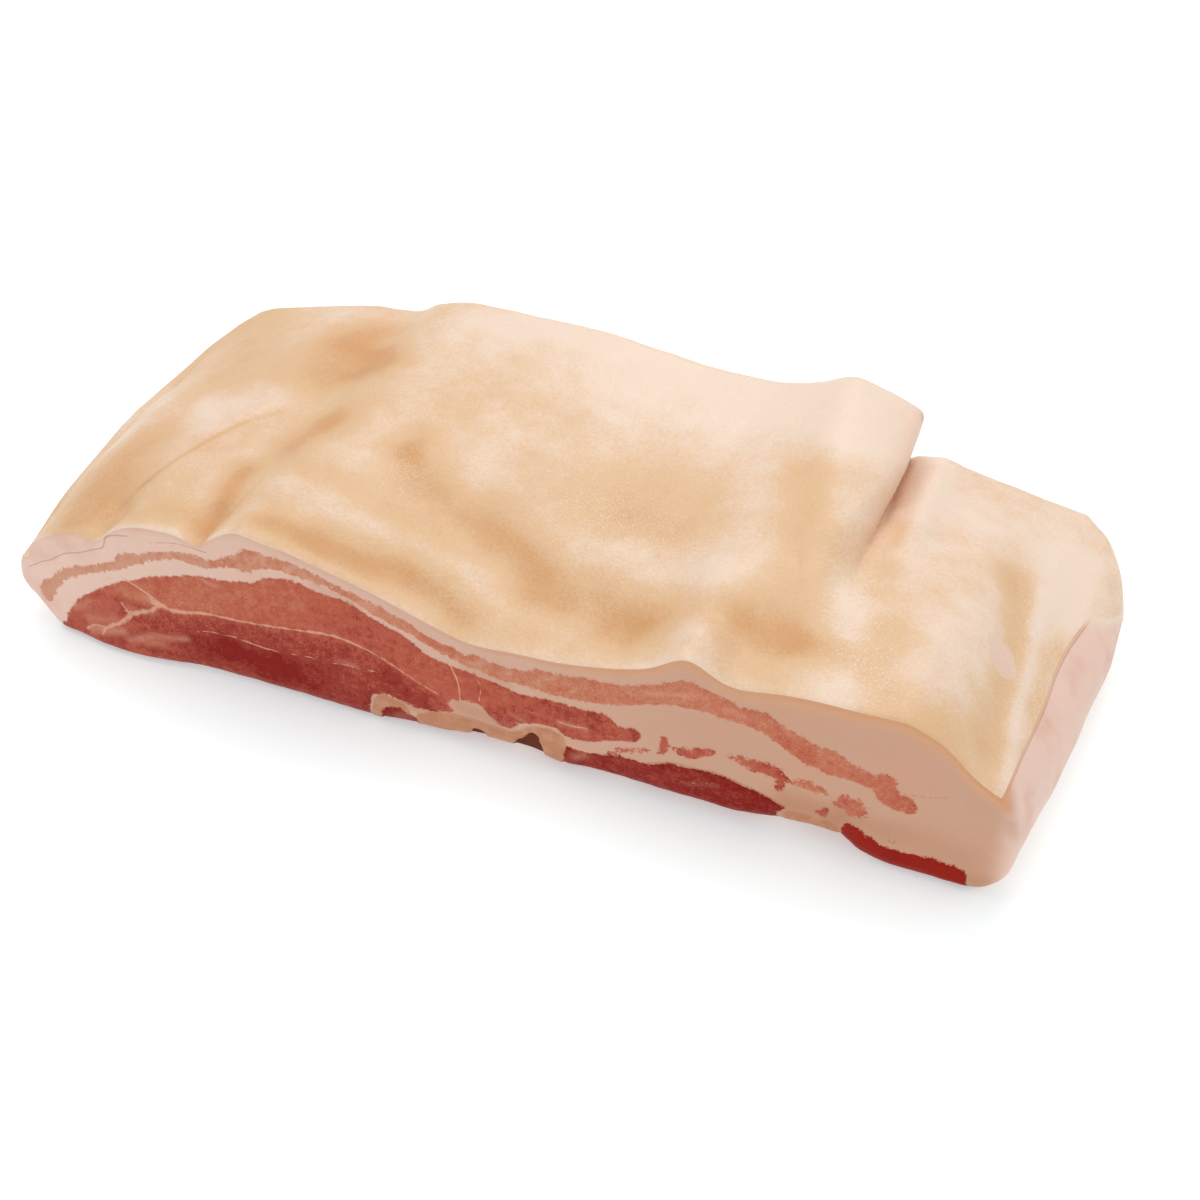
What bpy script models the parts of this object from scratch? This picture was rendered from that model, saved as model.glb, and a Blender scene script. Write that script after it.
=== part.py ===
"""Raw boneless pork belly slab, skin side up, as one solid.

Run with: blender --background --python part.py
Metres, +Z up. X runs along the slab, and the long cut that faces forwards is at -Y. The origin
is on the underside, at the centre of the slab's box.

A box is cut into a lattice, its edges are rounded, and it is then bent to the slab's form: skin
above, an underside that lies flat, and four cut faces between them.
"""

import bmesh
import bpy
import numpy as np

# Driving sizes
LENGTH = 0.336  # X, from the left end to the right end
WIDTH = 0.150  # Y, from the front cut to the back cut
THICKNESS = 0.060  # Z, the skin's height where the slab is thickest
EDGE_RADIUS = 0.0022  # a knife cut in soft meat leaves the edges this round
CROWN = 0.0026  # how far the middle of the skin stands above its two long edges

# The lattice. The fold needs closer cuts than the rest.
CELL = 0.0070
CELL_UPRIGHT = 0.0110
FOLD_CELL = 0.0018
FOLD_REACH = 0.0126

# Lines along the slab: (share of LENGTH from the left end, share of THICKNESS above the table).
FRONT_LINE = (
    (0.000, 0.40), (0.012, 0.52), (0.035, 0.61), (0.07, 0.69), (0.12, 0.80), (0.17, 0.875),
    (0.22, 0.94), (0.255, 0.985), (0.29, 0.975), (0.33, 0.925), (0.38, 0.85), (0.44, 0.745),
    (0.48, 0.695), (0.525, 0.685), (0.59, 0.745), (0.64, 0.83), (0.68, 0.895), (0.71, 0.90), (0.76, 0.925),
    (0.83, 0.930), (0.865, 0.940), (0.895, 0.885), (0.935, 0.70), (0.96, 0.61), (1.000, 0.55),
)
BACK_LINE = (
    (0.00, 0.56), (0.05, 0.66), (0.10, 0.735), (0.18, 0.845), (0.225, 0.88), (0.255, 0.960),
    (0.30, 1.015), (0.43, 1.02), (0.50, 0.98), (0.565, 0.935), (0.62, 0.93), (0.67, 0.985),
    (0.71, 1.045), (0.735, 1.015), (0.752, 0.965), (0.766, 0.90), (0.78, 0.82),
)
BACK_LINE_PAST_FOLD = (
    (0.74, 0.60), (0.785, 0.64), (0.805, 0.66), (0.83, 0.63), (0.87, 0.58), (0.95, 0.50), (1.00, 0.45),
)
# How far the front cut lifts off the table, in shares of THICKNESS.
ARCH_LINE = (
    (0.36, 0.00), (0.44, 0.03), (0.50, 0.055), (0.53, 0.055), (0.57, 0.035), (0.60, 0.045),
    (0.72, 0.045), (0.77, 0.07), (0.80, 0.085), (0.825, 0.075), (0.85, 0.02), (0.88, 0.00),
)
ARCH_TOP = max(height for _, height in ARCH_LINE)
ARCH_REACH = 0.030  # how far in from the cut the arch runs under the slab
ARCH_TUCK = 0.0030  # how far the cut draws back above the arch

# The ends, as lines across the slab: (share of WIDTH from the front, metres from the middle).
LEFT_END = ((0.0, 0.1710), (0.2, 0.1728), (0.5, 0.1738), (0.8, 0.1708), (0.94, 0.1662), (1.0, 0.1610))
RIGHT_END = (
    (0.0, 0.1605), (0.1, 0.1624), (0.3, 0.1669), (0.5, 0.1698), (0.65, 0.1722), (0.76, 0.1722),
    (0.87, 0.1692), (0.95, 0.1640), (1.0, 0.1565),
)
RIGHT_SKIN_BACK = (
    (0.0, 0.0068), (0.14, 0.0081), (0.29, 0.0097), (0.44, 0.0113), (0.56, 0.0110), (0.67, 0.0094),
    (0.8, 0.0065), (1.0, 0.0030),
)
# How the ends and the long cuts lean: (share of the local thickness, how far back the face stands).
LEFT_LEAN = ((0.0, 0.0130), (0.2, 0.0090), (0.45, 0.0040), (0.75, 0.0), (0.9, 0.0), (1.0, 0.0010))
RIGHT_LEAN = ((0.0, 0.0100), (0.12, 0.0050), (0.3, 0.0010), (0.5, 0.0), (0.75, 0.0), (1.0, 0.0))
RIGHT_SKIN_LEAN = ((0.5, 0.0), (0.75, 0.18), (0.9, 0.55), (1.0, 1.0))  # shares of RIGHT_SKIN_BACK
CUT_LEAN = ((0.0, 0.0012), (0.08, 0.0), (0.25, 0.0), (0.6, 0.0012), (1.0, 0.0030))

# Swells and hollows of the two long cuts: (share of LENGTH, share of the local thickness,
# half width in metres, half height as a share, how far it stands out in metres).
FRONT_CUT_FORMS = (
    (0.118, 0.02, 0.0200, 0.28, 0.0040),  # lean that bulges at the foot, near the left end
    (0.300, 0.40, 0.0450, 0.35, 0.0008),
    (0.735, 0.12, 0.0300, 0.22, 0.0008),
)
BACK_CUT_FORMS = (
    (0.240, 0.45, 0.0450, 0.45, 0.0012),
    (0.560, 0.35, 0.0500, 0.40, -0.0014),
    (0.900, 0.30, 0.0200, 0.35, 0.0006),
)

# The fold, where the skin on the left rolls over towards the right.
FOLD_X = 0.0888  # at the back cut
FOLD_SLANT = 0.0068  # how much further right it would run at the front cut
FOLD_START = 0.26  # share of WIDTH, where the fold begins to show
FOLD_FULL = 0.84  # and where it is at its highest
FOLD_WALL_FRONT = 0.022  # how wide the step is where it begins
FOLD_WALL_BACK = 0.0046  # and at the back cut
FOLD_OVERHANG = 0.0074
FOLD_ROLL_WIDTH = 0.0095
FOLD_FOOT = 0.0012  # how far right of its middle the step's foot lies
FOLD_CREASE = 0.0022  # depth of the crease there
FOLD_CREASE_HALF_WIDTH = 0.0024

# Swells and hollows of the skin: (half width, height, places along its line), sizes in metres
# and places as (share of LENGTH, share of WIDTH).
SKIN_FORMS = (
    (0.0240, 0.0060, ((0.040, 0.26), (0.042, 0.46))),  # the left end's dome
    (0.0055, -0.0042, ((0.088, 0.00), (0.098, 0.10))),  # step in the skin at the front cut
    (0.0080, 0.0014, ((0.140, 0.00), (0.140, 0.05))),
    (0.0060, -0.0042, ((0.205, 0.00), (0.202, 0.10))),  # second step at the front cut
    (0.0110, -0.0014, ((0.201, 0.16), (0.207, 0.36), (0.219, 0.52), (0.213, 0.92))),  # and its run
    (0.0060, 0.0014, ((0.250, 0.00), (0.250, 0.08))),
    (0.0095, 0.0016, ((0.145, 0.85), (0.150, 0.50), (0.128, 0.20))),
    (0.0065, -0.0013, ((0.322, 0.48),)),  # dimple
    (0.0105, -0.0016, ((0.376, 0.32), (0.430, 0.30), (0.485, 0.27), (0.540, 0.19), (0.634, 0.11))),
    (0.0105, -0.0007, ((0.530, 0.21), (0.610, 0.12))),
    (0.0065, -0.0011, ((0.238, 0.12), (0.396, 0.09), (0.485, 0.02))),  # hollow beside the front cut
    (0.0070, 0.0009, ((0.262, 0.22), (0.396, 0.19), (0.485, 0.14), (0.536, 0.04))),  # ridge behind it
    (0.0080, 0.0044, ((0.683, 0.00), (0.679, 0.10))),  # knuckle of skin at the front cut
    (0.0070, 0.0022, ((0.672, 0.22), (0.668, 0.29))),
    (0.0120, -0.0026, ((0.730, 0.02), (0.742, 0.18))),  # hollow to its right
    (0.0070, -0.0009, ((0.700, 0.69), (0.716, 0.53), (0.722, 0.40))),
    (0.0110, 0.0022, ((0.710, 0.95), (0.728, 0.80), (0.742, 0.50))),  # roll of skin beside the fold
    (0.0050, 0.0018, ((0.808, 0.92), (0.814, 0.55))),  # welt on the fold's right
    (0.0060, -0.0014, ((0.905, 0.67), (0.922, 0.40), (0.936, 0.08))),  # channel near the right end
    (0.0055, 0.0007, ((0.938, 0.64), (0.950, 0.25), (0.956, 0.05))),
)


def line_through(points):
    """A smooth line through (place, value) pairs that doesn't overshoot, level past its ends."""
    places, values = np.array(points, float).T
    gaps = np.diff(places)
    rises = np.diff(values) / gaps
    slopes = np.zeros(len(places))
    product = rises[:-1] * rises[1:]
    same_way = product > 0
    weight_before = 2 * gaps[1:] + gaps[:-1]
    weight_after = gaps[1:] + 2 * gaps[:-1]
    spread = np.where(same_way, weight_before * rises[1:] + weight_after * rises[:-1], 1.0)
    slopes[1:-1] = np.where(same_way, (weight_before + weight_after) * product / spread, 0.0)

    def value(at):
        at = np.clip(at, places[0], places[-1])
        i = np.minimum(np.searchsorted(places, at, side="right") - 1, len(gaps) - 1)
        t = (at - places[i]) / gaps[i]
        ends = values[i] * (1 + 2 * t) * (1 - t) ** 2 + values[i + 1] * t * t * (3 - 2 * t)
        bends = slopes[i] * t * (1 - t) ** 2 - slopes[i + 1] * t * t * (1 - t)
        return ends + gaps[i] * bends

    return value


front_line = line_through(FRONT_LINE)
back_line = line_through(BACK_LINE)
back_line_past_fold = line_through(BACK_LINE_PAST_FOLD)
arch_line = line_through(ARCH_LINE)
left_end = line_through(LEFT_END)
right_end = line_through(RIGHT_END)
right_skin_back = line_through(RIGHT_SKIN_BACK)
left_lean = line_through(LEFT_LEAN)
right_lean = line_through(RIGHT_LEAN)
right_skin_lean = line_through(RIGHT_SKIN_LEAN)
cut_lean = line_through(CUT_LEAN)


def ease(t):
    """0 below 0, 1 above 1, and smooth between."""
    t = np.clip(t, 0.0, 1.0)
    return t * t * (3 - 2 * t)


def mix(a, b, t):
    return a + (b - a) * t


def bell(distance, half_width):
    return np.exp(-((distance / half_width) ** 2))


def along(x):
    """Share of LENGTH from the left end."""
    return x / LENGTH + 0.5


def across(y):
    """Share of WIDTH from the front cut."""
    return y / WIDTH + 0.5


def fold_strength(v):
    return ease((v - FOLD_START) / (FOLD_FULL - FOLD_START))


def fold_line(v):
    return FOLD_X + FOLD_SLANT * (1 - v)


def past_fold(x, v):
    """0 left of the fold's step, 1 right of it."""
    wall = mix(FOLD_WALL_FRONT, FOLD_WALL_BACK, fold_strength(v))
    return ease((x - fold_line(v)) / wall + 0.5)


def distance_to_path(x, y, path):
    """Distance in plan from each point to a line through places."""
    nearest = np.full(np.shape(x), np.inf)
    for start, end in zip(path, path[1:] or path):
        ax, ay = (start[0] - 0.5) * LENGTH, (start[1] - 0.5) * WIDTH
        dx, dy = (end[0] - start[0]) * LENGTH, (end[1] - start[1]) * WIDTH
        squared = max(dx * dx + dy * dy, 1e-12)
        t = np.clip(((x - ax) * dx + (y - ay) * dy) / squared, 0.0, 1.0)
        nearest = np.minimum(nearest, np.hypot(x - ax - t * dx, y - ay - t * dy))
    return nearest


def skin_height(x, y):
    u, v = along(x), across(y)
    front = front_line(u)
    before = mix(front, back_line(u), (ease(v) + np.clip(v, 0.0, 1.0)) / 2)
    after = mix(front, back_line_past_fold(u), ease((v - 0.15) / 0.85))
    height = mix(before, after, past_fold(x, v)) * THICKNESS
    height += CROWN * 4 * v * (1 - v) * ease(u / 0.12) * ease((1 - u) / 0.12)
    foot = fold_line(v) + FOLD_FOOT
    height -= FOLD_CREASE * fold_strength(v) * bell(x - foot, FOLD_CREASE_HALF_WIDTH)
    for half_width, rise, path in SKIN_FORMS:
        height += rise * bell(distance_to_path(x, y, path), half_width)
    return height


def underside_height(x, y):
    from_cut = y + WIDTH / 2
    return arch_line(along(x)) * THICKNESS * (1 - ease(from_cut / ARCH_REACH))


def cut_swell(forms, u, w):
    """How far a long cut stands out at each point."""
    total = np.zeros(np.shape(u))
    for at, height, half_width, half_height, out in forms:
        total += out * bell((u - at) * LENGTH, half_width) * bell(w - height, half_height)
    return total


def rounded(points, half):
    """Points on a box, moved on to the same box with its edges rounded."""
    inner = np.clip(points, EDGE_RADIUS - half, half - EDGE_RADIUS)
    out = points - inner
    length = np.linalg.norm(out, axis=1, keepdims=True)
    return inner + out * (EDGE_RADIUS / np.maximum(length, 1e-9))


def slab_points(points):
    """Points of the box, bent to the slab's form."""
    u = along(points[:, 0])
    v = across(points[:, 1])
    w = points[:, 2] / THICKNESS + 0.5
    left = left_lean(w) - left_end(v)
    right = right_end(v) - right_lean(w) - right_skin_back(v) * right_skin_lean(w)
    x = mix(left, right, u)
    tuck = ARCH_TUCK * arch_line(along(x)) / ARCH_TOP * (1 - ease(w / 0.5))
    front = cut_lean(w) + tuck - cut_swell(FRONT_CUT_FORMS, along(x), w) - WIDTH / 2
    back = WIDTH / 2 - cut_lean(w) + cut_swell(BACK_CUT_FORMS, along(x), w)
    y = mix(front, back, v)
    z = mix(underside_height(x, y), skin_height(x, y), w)
    share = across(y)
    roll = FOLD_OVERHANG * fold_strength(share) * np.clip((w - 0.5) / 0.5, 0.0, 1.0) ** 2
    roll *= (1 - past_fold(x, share)) * bell(x - fold_line(share), FOLD_ROLL_WIDTH)
    return np.column_stack((x + roll, y, z))


def stations(half, cell):
    """Places of the lattice's cuts along one side: even, with two at each edge for its rounding."""
    inner = half - EDGE_RADIUS
    edge = half - 0.3 * EDGE_RADIUS
    even = np.linspace(-inner, inner, round(2 * inner / cell) + 1)
    return [-edge, *even, edge]


def lengthwise_stations(half):
    count = round(2 * FOLD_REACH / FOLD_CELL)
    middle = fold_line(0.75)
    fold = np.linspace(middle - FOLD_REACH, middle + FOLD_REACH, count + 1)
    plain = [x for x in stations(half, CELL) if abs(x - middle) > FOLD_REACH + FOLD_CELL]
    return [*plain, *fold]


def cut_lattice(mesh, axis, places):
    normal = [0.0, 0.0, 0.0]
    normal[axis] = 1.0
    for place in places:
        point = [0.0, 0.0, 0.0]
        point[axis] = place
        geometry = mesh.verts[:] + mesh.edges[:] + mesh.faces[:]
        bmesh.ops.bisect_plane(mesh, geom=geometry, dist=1e-7, plane_co=point, plane_no=normal)


def raw_pork_material():
    material = bpy.data.materials.new("raw_pork_with_rind")
    material.use_nodes = True
    shader = material.node_tree.nodes["Principled BSDF"]
    shader.inputs["Base Color"].default_value = (0.80, 0.56, 0.38, 1.0)
    shader.inputs["Roughness"].default_value = 0.45
    shader.inputs["Metallic"].default_value = 0.0
    return material


def make_slab():
    half = np.array([LENGTH, WIDTH, THICKNESS]) / 2
    mesh = bmesh.new()
    bmesh.ops.create_cube(mesh, size=1.0)
    bmesh.ops.scale(mesh, vec=(LENGTH, WIDTH, THICKNESS), verts=mesh.verts)
    cut_lattice(mesh, 0, lengthwise_stations(half[0]))
    cut_lattice(mesh, 1, stations(half[1], CELL))
    cut_lattice(mesh, 2, stations(half[2], CELL_UPRIGHT))
    box = np.array([vertex.co for vertex in mesh.verts])
    slab = slab_points(rounded(box, half))
    low, high = slab.min(axis=0), slab.max(axis=0)
    slab -= (low + high) / 2 * (1, 1, 0) + low * (0, 0, 1)
    for vertex, place in zip(mesh.verts, slab):
        vertex.co = place
    bmesh.ops.recalc_face_normals(mesh, faces=mesh.faces)
    data = bpy.data.meshes.new("pork_belly_slab")
    mesh.to_mesh(data)
    mesh.free()
    data.shade_smooth()
    data.materials.append(raw_pork_material())
    return bpy.data.objects.new("pork_belly_slab", data)


def main():
    for old in list(bpy.data.objects):
        bpy.data.objects.remove(old)
    collection = bpy.data.collections.new("pork_belly_slab")
    bpy.context.scene.collection.children.link(collection)
    collection.objects.link(make_slab())


main()
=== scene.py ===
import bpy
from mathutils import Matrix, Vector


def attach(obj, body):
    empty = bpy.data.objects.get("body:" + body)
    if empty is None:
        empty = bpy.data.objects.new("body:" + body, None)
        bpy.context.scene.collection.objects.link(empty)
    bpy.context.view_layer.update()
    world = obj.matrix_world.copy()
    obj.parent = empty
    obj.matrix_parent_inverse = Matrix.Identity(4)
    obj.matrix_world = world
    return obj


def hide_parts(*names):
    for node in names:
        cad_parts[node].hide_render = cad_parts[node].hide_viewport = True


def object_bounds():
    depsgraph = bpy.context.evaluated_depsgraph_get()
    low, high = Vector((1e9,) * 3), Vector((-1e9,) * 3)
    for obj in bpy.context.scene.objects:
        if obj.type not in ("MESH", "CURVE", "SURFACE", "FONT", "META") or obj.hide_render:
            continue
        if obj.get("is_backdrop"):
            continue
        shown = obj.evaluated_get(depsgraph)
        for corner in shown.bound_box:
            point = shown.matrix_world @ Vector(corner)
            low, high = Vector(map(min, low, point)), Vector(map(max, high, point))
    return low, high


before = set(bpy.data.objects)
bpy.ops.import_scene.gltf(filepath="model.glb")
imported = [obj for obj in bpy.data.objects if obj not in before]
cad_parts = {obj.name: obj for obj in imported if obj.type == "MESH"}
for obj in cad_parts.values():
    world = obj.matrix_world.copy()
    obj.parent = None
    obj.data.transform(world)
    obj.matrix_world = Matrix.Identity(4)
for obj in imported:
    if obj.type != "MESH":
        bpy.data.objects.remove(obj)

from types import SimpleNamespace

import bpy
import numpy as np
from mathutils import Vector, noise

bl_info = {
    "name": "Pork Belly Slab",
    "version": (1, 0, 0),
    "blender": (4, 5, 0),
    "location": "View3D > Sidebar > Pork Belly",
    "description": "Models a raw pork belly slab with its rind, fat and lean, and a plain studio around it",
    "category": "Add Mesh",
}

NODE = "pork_belly_slab"
BODY = "root"
CAD_LOW, CAD_HIGH = (list(corner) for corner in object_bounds())
MM = 0.001


def line_through(points):
    """A smooth line through (place, value) pairs that doesn't overshoot, level past its ends."""
    places, values = np.array(points, float).T
    gaps = np.diff(places)
    rises = np.diff(values) / gaps
    slopes = np.zeros(len(places))
    product = rises[:-1] * rises[1:]
    same_way = product > 0
    weight_before = 2 * gaps[1:] + gaps[:-1]
    weight_after = gaps[1:] + 2 * gaps[:-1]
    spread = np.where(same_way, weight_before * rises[1:] + weight_after * rises[:-1], 1.0)
    slopes[1:-1] = np.where(same_way, (weight_before + weight_after) * product / spread, 0.0)

    def value(at):
        at = np.clip(at, places[0], places[-1])
        i = np.minimum(np.searchsorted(places, at, side="right") - 1, len(gaps) - 1)
        t = (at - places[i]) / gaps[i]
        ends = values[i] * (1 + 2 * t) * (1 - t) ** 2 + values[i + 1] * t * t * (3 - 2 * t)
        bends = slopes[i] * t * (1 - t) ** 2 - slopes[i + 1] * t * t * (1 - t)
        return ends + gaps[i] * bends

    return value


# ---------------------------------------------------------------------------
# The slab's form: the same sizes and lines as the solid's, on a finer lattice
# ---------------------------------------------------------------------------

LENGTH = 0.336  # X, from the left end to the right end
WIDTH = 0.150  # Y, from the front cut to the back cut
THICKNESS = 0.060  # Z, the skin's height where the slab is thickest
EDGE_RADIUS = 0.0022  # a knife cut in soft meat leaves the edges this round
CROWN = 0.0026  # how far the middle of the skin stands above its two long edges
CROWN_RISE = 0.12  # share of LENGTH over which the crown rises from each end
LEVEL_PAST_FOLD = 0.15  # share of WIDTH up to which the skin past the fold keeps the front line's height

# Lines along the slab: (share of LENGTH from the left end, share of THICKNESS above the table).
front_line = line_through((
    (0.000, 0.40), (0.012, 0.52), (0.035, 0.61), (0.07, 0.69), (0.12, 0.80), (0.17, 0.875),
    (0.22, 0.94), (0.255, 0.985), (0.29, 0.975), (0.33, 0.925), (0.38, 0.85), (0.44, 0.745),
    (0.48, 0.695), (0.525, 0.685), (0.59, 0.745), (0.64, 0.83), (0.68, 0.895), (0.71, 0.90), (0.76, 0.925),
    (0.83, 0.930), (0.865, 0.940), (0.895, 0.885), (0.935, 0.70), (0.96, 0.61), (1.000, 0.55),
))
back_line = line_through((
    (0.00, 0.56), (0.05, 0.66), (0.10, 0.735), (0.18, 0.845), (0.225, 0.88), (0.255, 0.960),
    (0.30, 1.015), (0.43, 1.02), (0.50, 0.98), (0.565, 0.935), (0.62, 0.93), (0.67, 0.985),
    (0.71, 1.045), (0.735, 1.015), (0.752, 0.965), (0.766, 0.90), (0.78, 0.82),
))
back_line_past_fold = line_through((
    (0.74, 0.60), (0.785, 0.64), (0.805, 0.66), (0.83, 0.63), (0.87, 0.58), (0.95, 0.50), (1.00, 0.45),
))
# How far the front cut lifts off the table, in shares of THICKNESS.
arch_line = line_through((
    (0.36, 0.00), (0.44, 0.03), (0.50, 0.055), (0.53, 0.055), (0.57, 0.035), (0.60, 0.045),
    (0.72, 0.045), (0.77, 0.07), (0.80, 0.085), (0.825, 0.075), (0.85, 0.02), (0.88, 0.00),
))
ARCH_TOP = 0.085  # the highest point of the arch
ARCH_REACH = 0.030  # how far in from the cut the arch runs under the slab
ARCH_TUCK = 0.0030  # how far the cut draws back above the arch
ARCH_TUCK_TOP = 0.5  # and up to what share of the local thickness

# The ends, as lines across the slab: (share of WIDTH from the front, metres from the middle).
left_end = line_through((
    (0.0, 0.1710), (0.2, 0.1728), (0.5, 0.1738), (0.8, 0.1708), (0.94, 0.1662), (1.0, 0.1610),
))
right_end = line_through((
    (0.0, 0.1605), (0.1, 0.1624), (0.3, 0.1669), (0.5, 0.1698), (0.65, 0.1722), (0.76, 0.1722),
    (0.87, 0.1692), (0.95, 0.1640), (1.0, 0.1565),
))
# How far the skin stands back from the right end.
right_skin_back = line_through((
    (0.0, 0.0068), (0.14, 0.0081), (0.29, 0.0097), (0.44, 0.0113), (0.56, 0.0110), (0.67, 0.0094),
    (0.8, 0.0065), (1.0, 0.0030),
))
# How the ends and the long cuts lean: (share of the local thickness, how far back the face stands).
left_lean = line_through((
    (0.0, 0.0130), (0.2, 0.0090), (0.45, 0.0040), (0.75, 0.0), (0.9, 0.0), (1.0, 0.0010),
))
right_lean = line_through(((0.0, 0.0100), (0.12, 0.0050), (0.3, 0.0010), (0.5, 0.0), (0.75, 0.0), (1.0, 0.0)))
# How the right end leans towards the skin, in shares of how far the skin stands back there.
right_skin_lean = line_through(((0.5, 0.0), (0.75, 0.18), (0.9, 0.55), (1.0, 1.0)))
cut_lean = line_through(((0.0, 0.0012), (0.08, 0.0), (0.25, 0.0), (0.6, 0.0012), (1.0, 0.0030)))

# Swells and hollows of the two long cuts: (share of LENGTH, share of the local thickness,
# half width in metres, half height as a share, how far it stands out in metres).
FRONT_CUT_FORMS = (
    (0.118, 0.02, 0.0200, 0.28, 0.0040),  # lean that bulges at the foot, near the left end
    (0.300, 0.40, 0.0450, 0.35, 0.0008),
    (0.735, 0.12, 0.0300, 0.22, 0.0008),
)
BACK_CUT_FORMS = (
    (0.240, 0.45, 0.0450, 0.45, 0.0012),
    (0.560, 0.35, 0.0500, 0.40, -0.0014),
    (0.900, 0.30, 0.0200, 0.35, 0.0006),
)

# The fold, where the skin on the left rolls over towards the right.
FOLD_X = 0.0888  # at the back cut
FOLD_SLANT = 0.0068  # how much further right it would run at the front cut
FOLD_START = 0.26  # share of WIDTH, where the fold begins to show
FOLD_FULL = 0.84  # and where it is at its highest
FOLD_WALL_FRONT = 0.022  # how wide the step is where it begins
FOLD_WALL_BACK = 0.0046  # and at the back cut
FOLD_OVERHANG = 0.0074
FOLD_ROLL_WIDTH = 0.0095
FOLD_ROLL_START = 0.5  # share of the local thickness above which the skin rolls over
FOLD_FOOT = 0.0012  # how far right of its middle the step's foot lies
FOLD_CREASE = 0.0022  # depth of the crease there
FOLD_CREASE_HALF_WIDTH = 0.0024

# Swells and hollows of the skin: (half width, height, places along its line), sizes in millimetres
# and places as (per cent of LENGTH, per cent of WIDTH).
SKIN_FORMS = (
    (24, 6, ((4, 26), (4.2, 46))),  # the left end's dome
    (5.5, -4.2, ((8.8, 0), (9.8, 10))),  # step in the skin at the front cut
    (8, 1.4, ((14, 0), (14, 5))),
    (6, -4.2, ((20.5, 0), (20.2, 10))),  # second step at the front cut
    (11, -1.4, ((20.1, 16), (20.7, 36), (21.9, 52), (21.3, 92))),  # and its run
    (6, 1.4, ((25, 0), (25, 8))),
    (9.5, 1.6, ((14.5, 85), (15, 50), (12.8, 20))),
    (6.5, -1.3, ((32.2, 48),)),  # dimple
    (10.5, -1.6, ((37.6, 32), (43, 30), (48.5, 27), (54, 19), (63.4, 11))),
    (10.5, -0.7, ((53, 21), (61, 12))),
    (6.5, -1.1, ((23.8, 12), (39.6, 9), (48.5, 2))),  # hollow beside the front cut
    (7, 0.9, ((26.2, 22), (39.6, 19), (48.5, 14), (53.6, 4))),  # ridge behind it
    (8, 4.4, ((68.3, 0), (67.9, 10))),  # knuckle of skin at the front cut
    (7, 2.2, ((67.2, 22), (66.8, 29))),
    (12, -2.6, ((73, 2), (74.2, 18))),  # hollow to its right
    (7, -0.9, ((70, 69), (71.6, 53), (72.2, 40))),
    (11, 2.2, ((71, 95), (72.8, 80), (74.2, 50))),  # roll of skin beside the fold
    (5, 1.8, ((80.8, 92), (81.4, 55))),  # welt on the fold's right
    (6, -1.4, ((90.5, 67), (92.2, 40), (93.6, 8))),  # channel near the right end
    (5.5, 0.7, ((93.8, 64), (95, 25), (95.6, 5))),
)

# ---------------------------------------------------------------------------
# The skin's fine relief and colour, given as the skin's forms are
# ---------------------------------------------------------------------------

# Fine creases: (half width, height, places along the line).
SKIN_CREASES = (
    (0.7, -0.4, ((16.6, 43), (13.7, 31), (12.5, 25), (11.4, 18), (10.4, 15))),
    (0.8, -0.7, ((20.7, 0), (21.2, 8), (22.1, 16), (22.6, 22))),
    (1, -0.4, ((26.2, 93), (30, 95))),
    (0.9, -0.3, ((72, 45), (73.1, 36), (74.5, 30))),
    (2.2, 0.3, ((93.5, 62), (94.1, 44), (94.5, 26), (95.1, 13), (95.6, 5))),
    (0.8, -1, ((76.9, 92), (77.3, 74), (77.6, 62), (77.8, 50), (78.1, 38))),
    (2, 0.5, ((78.5, 70), (78.8, 60), (79.2, 48))),
)

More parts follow.
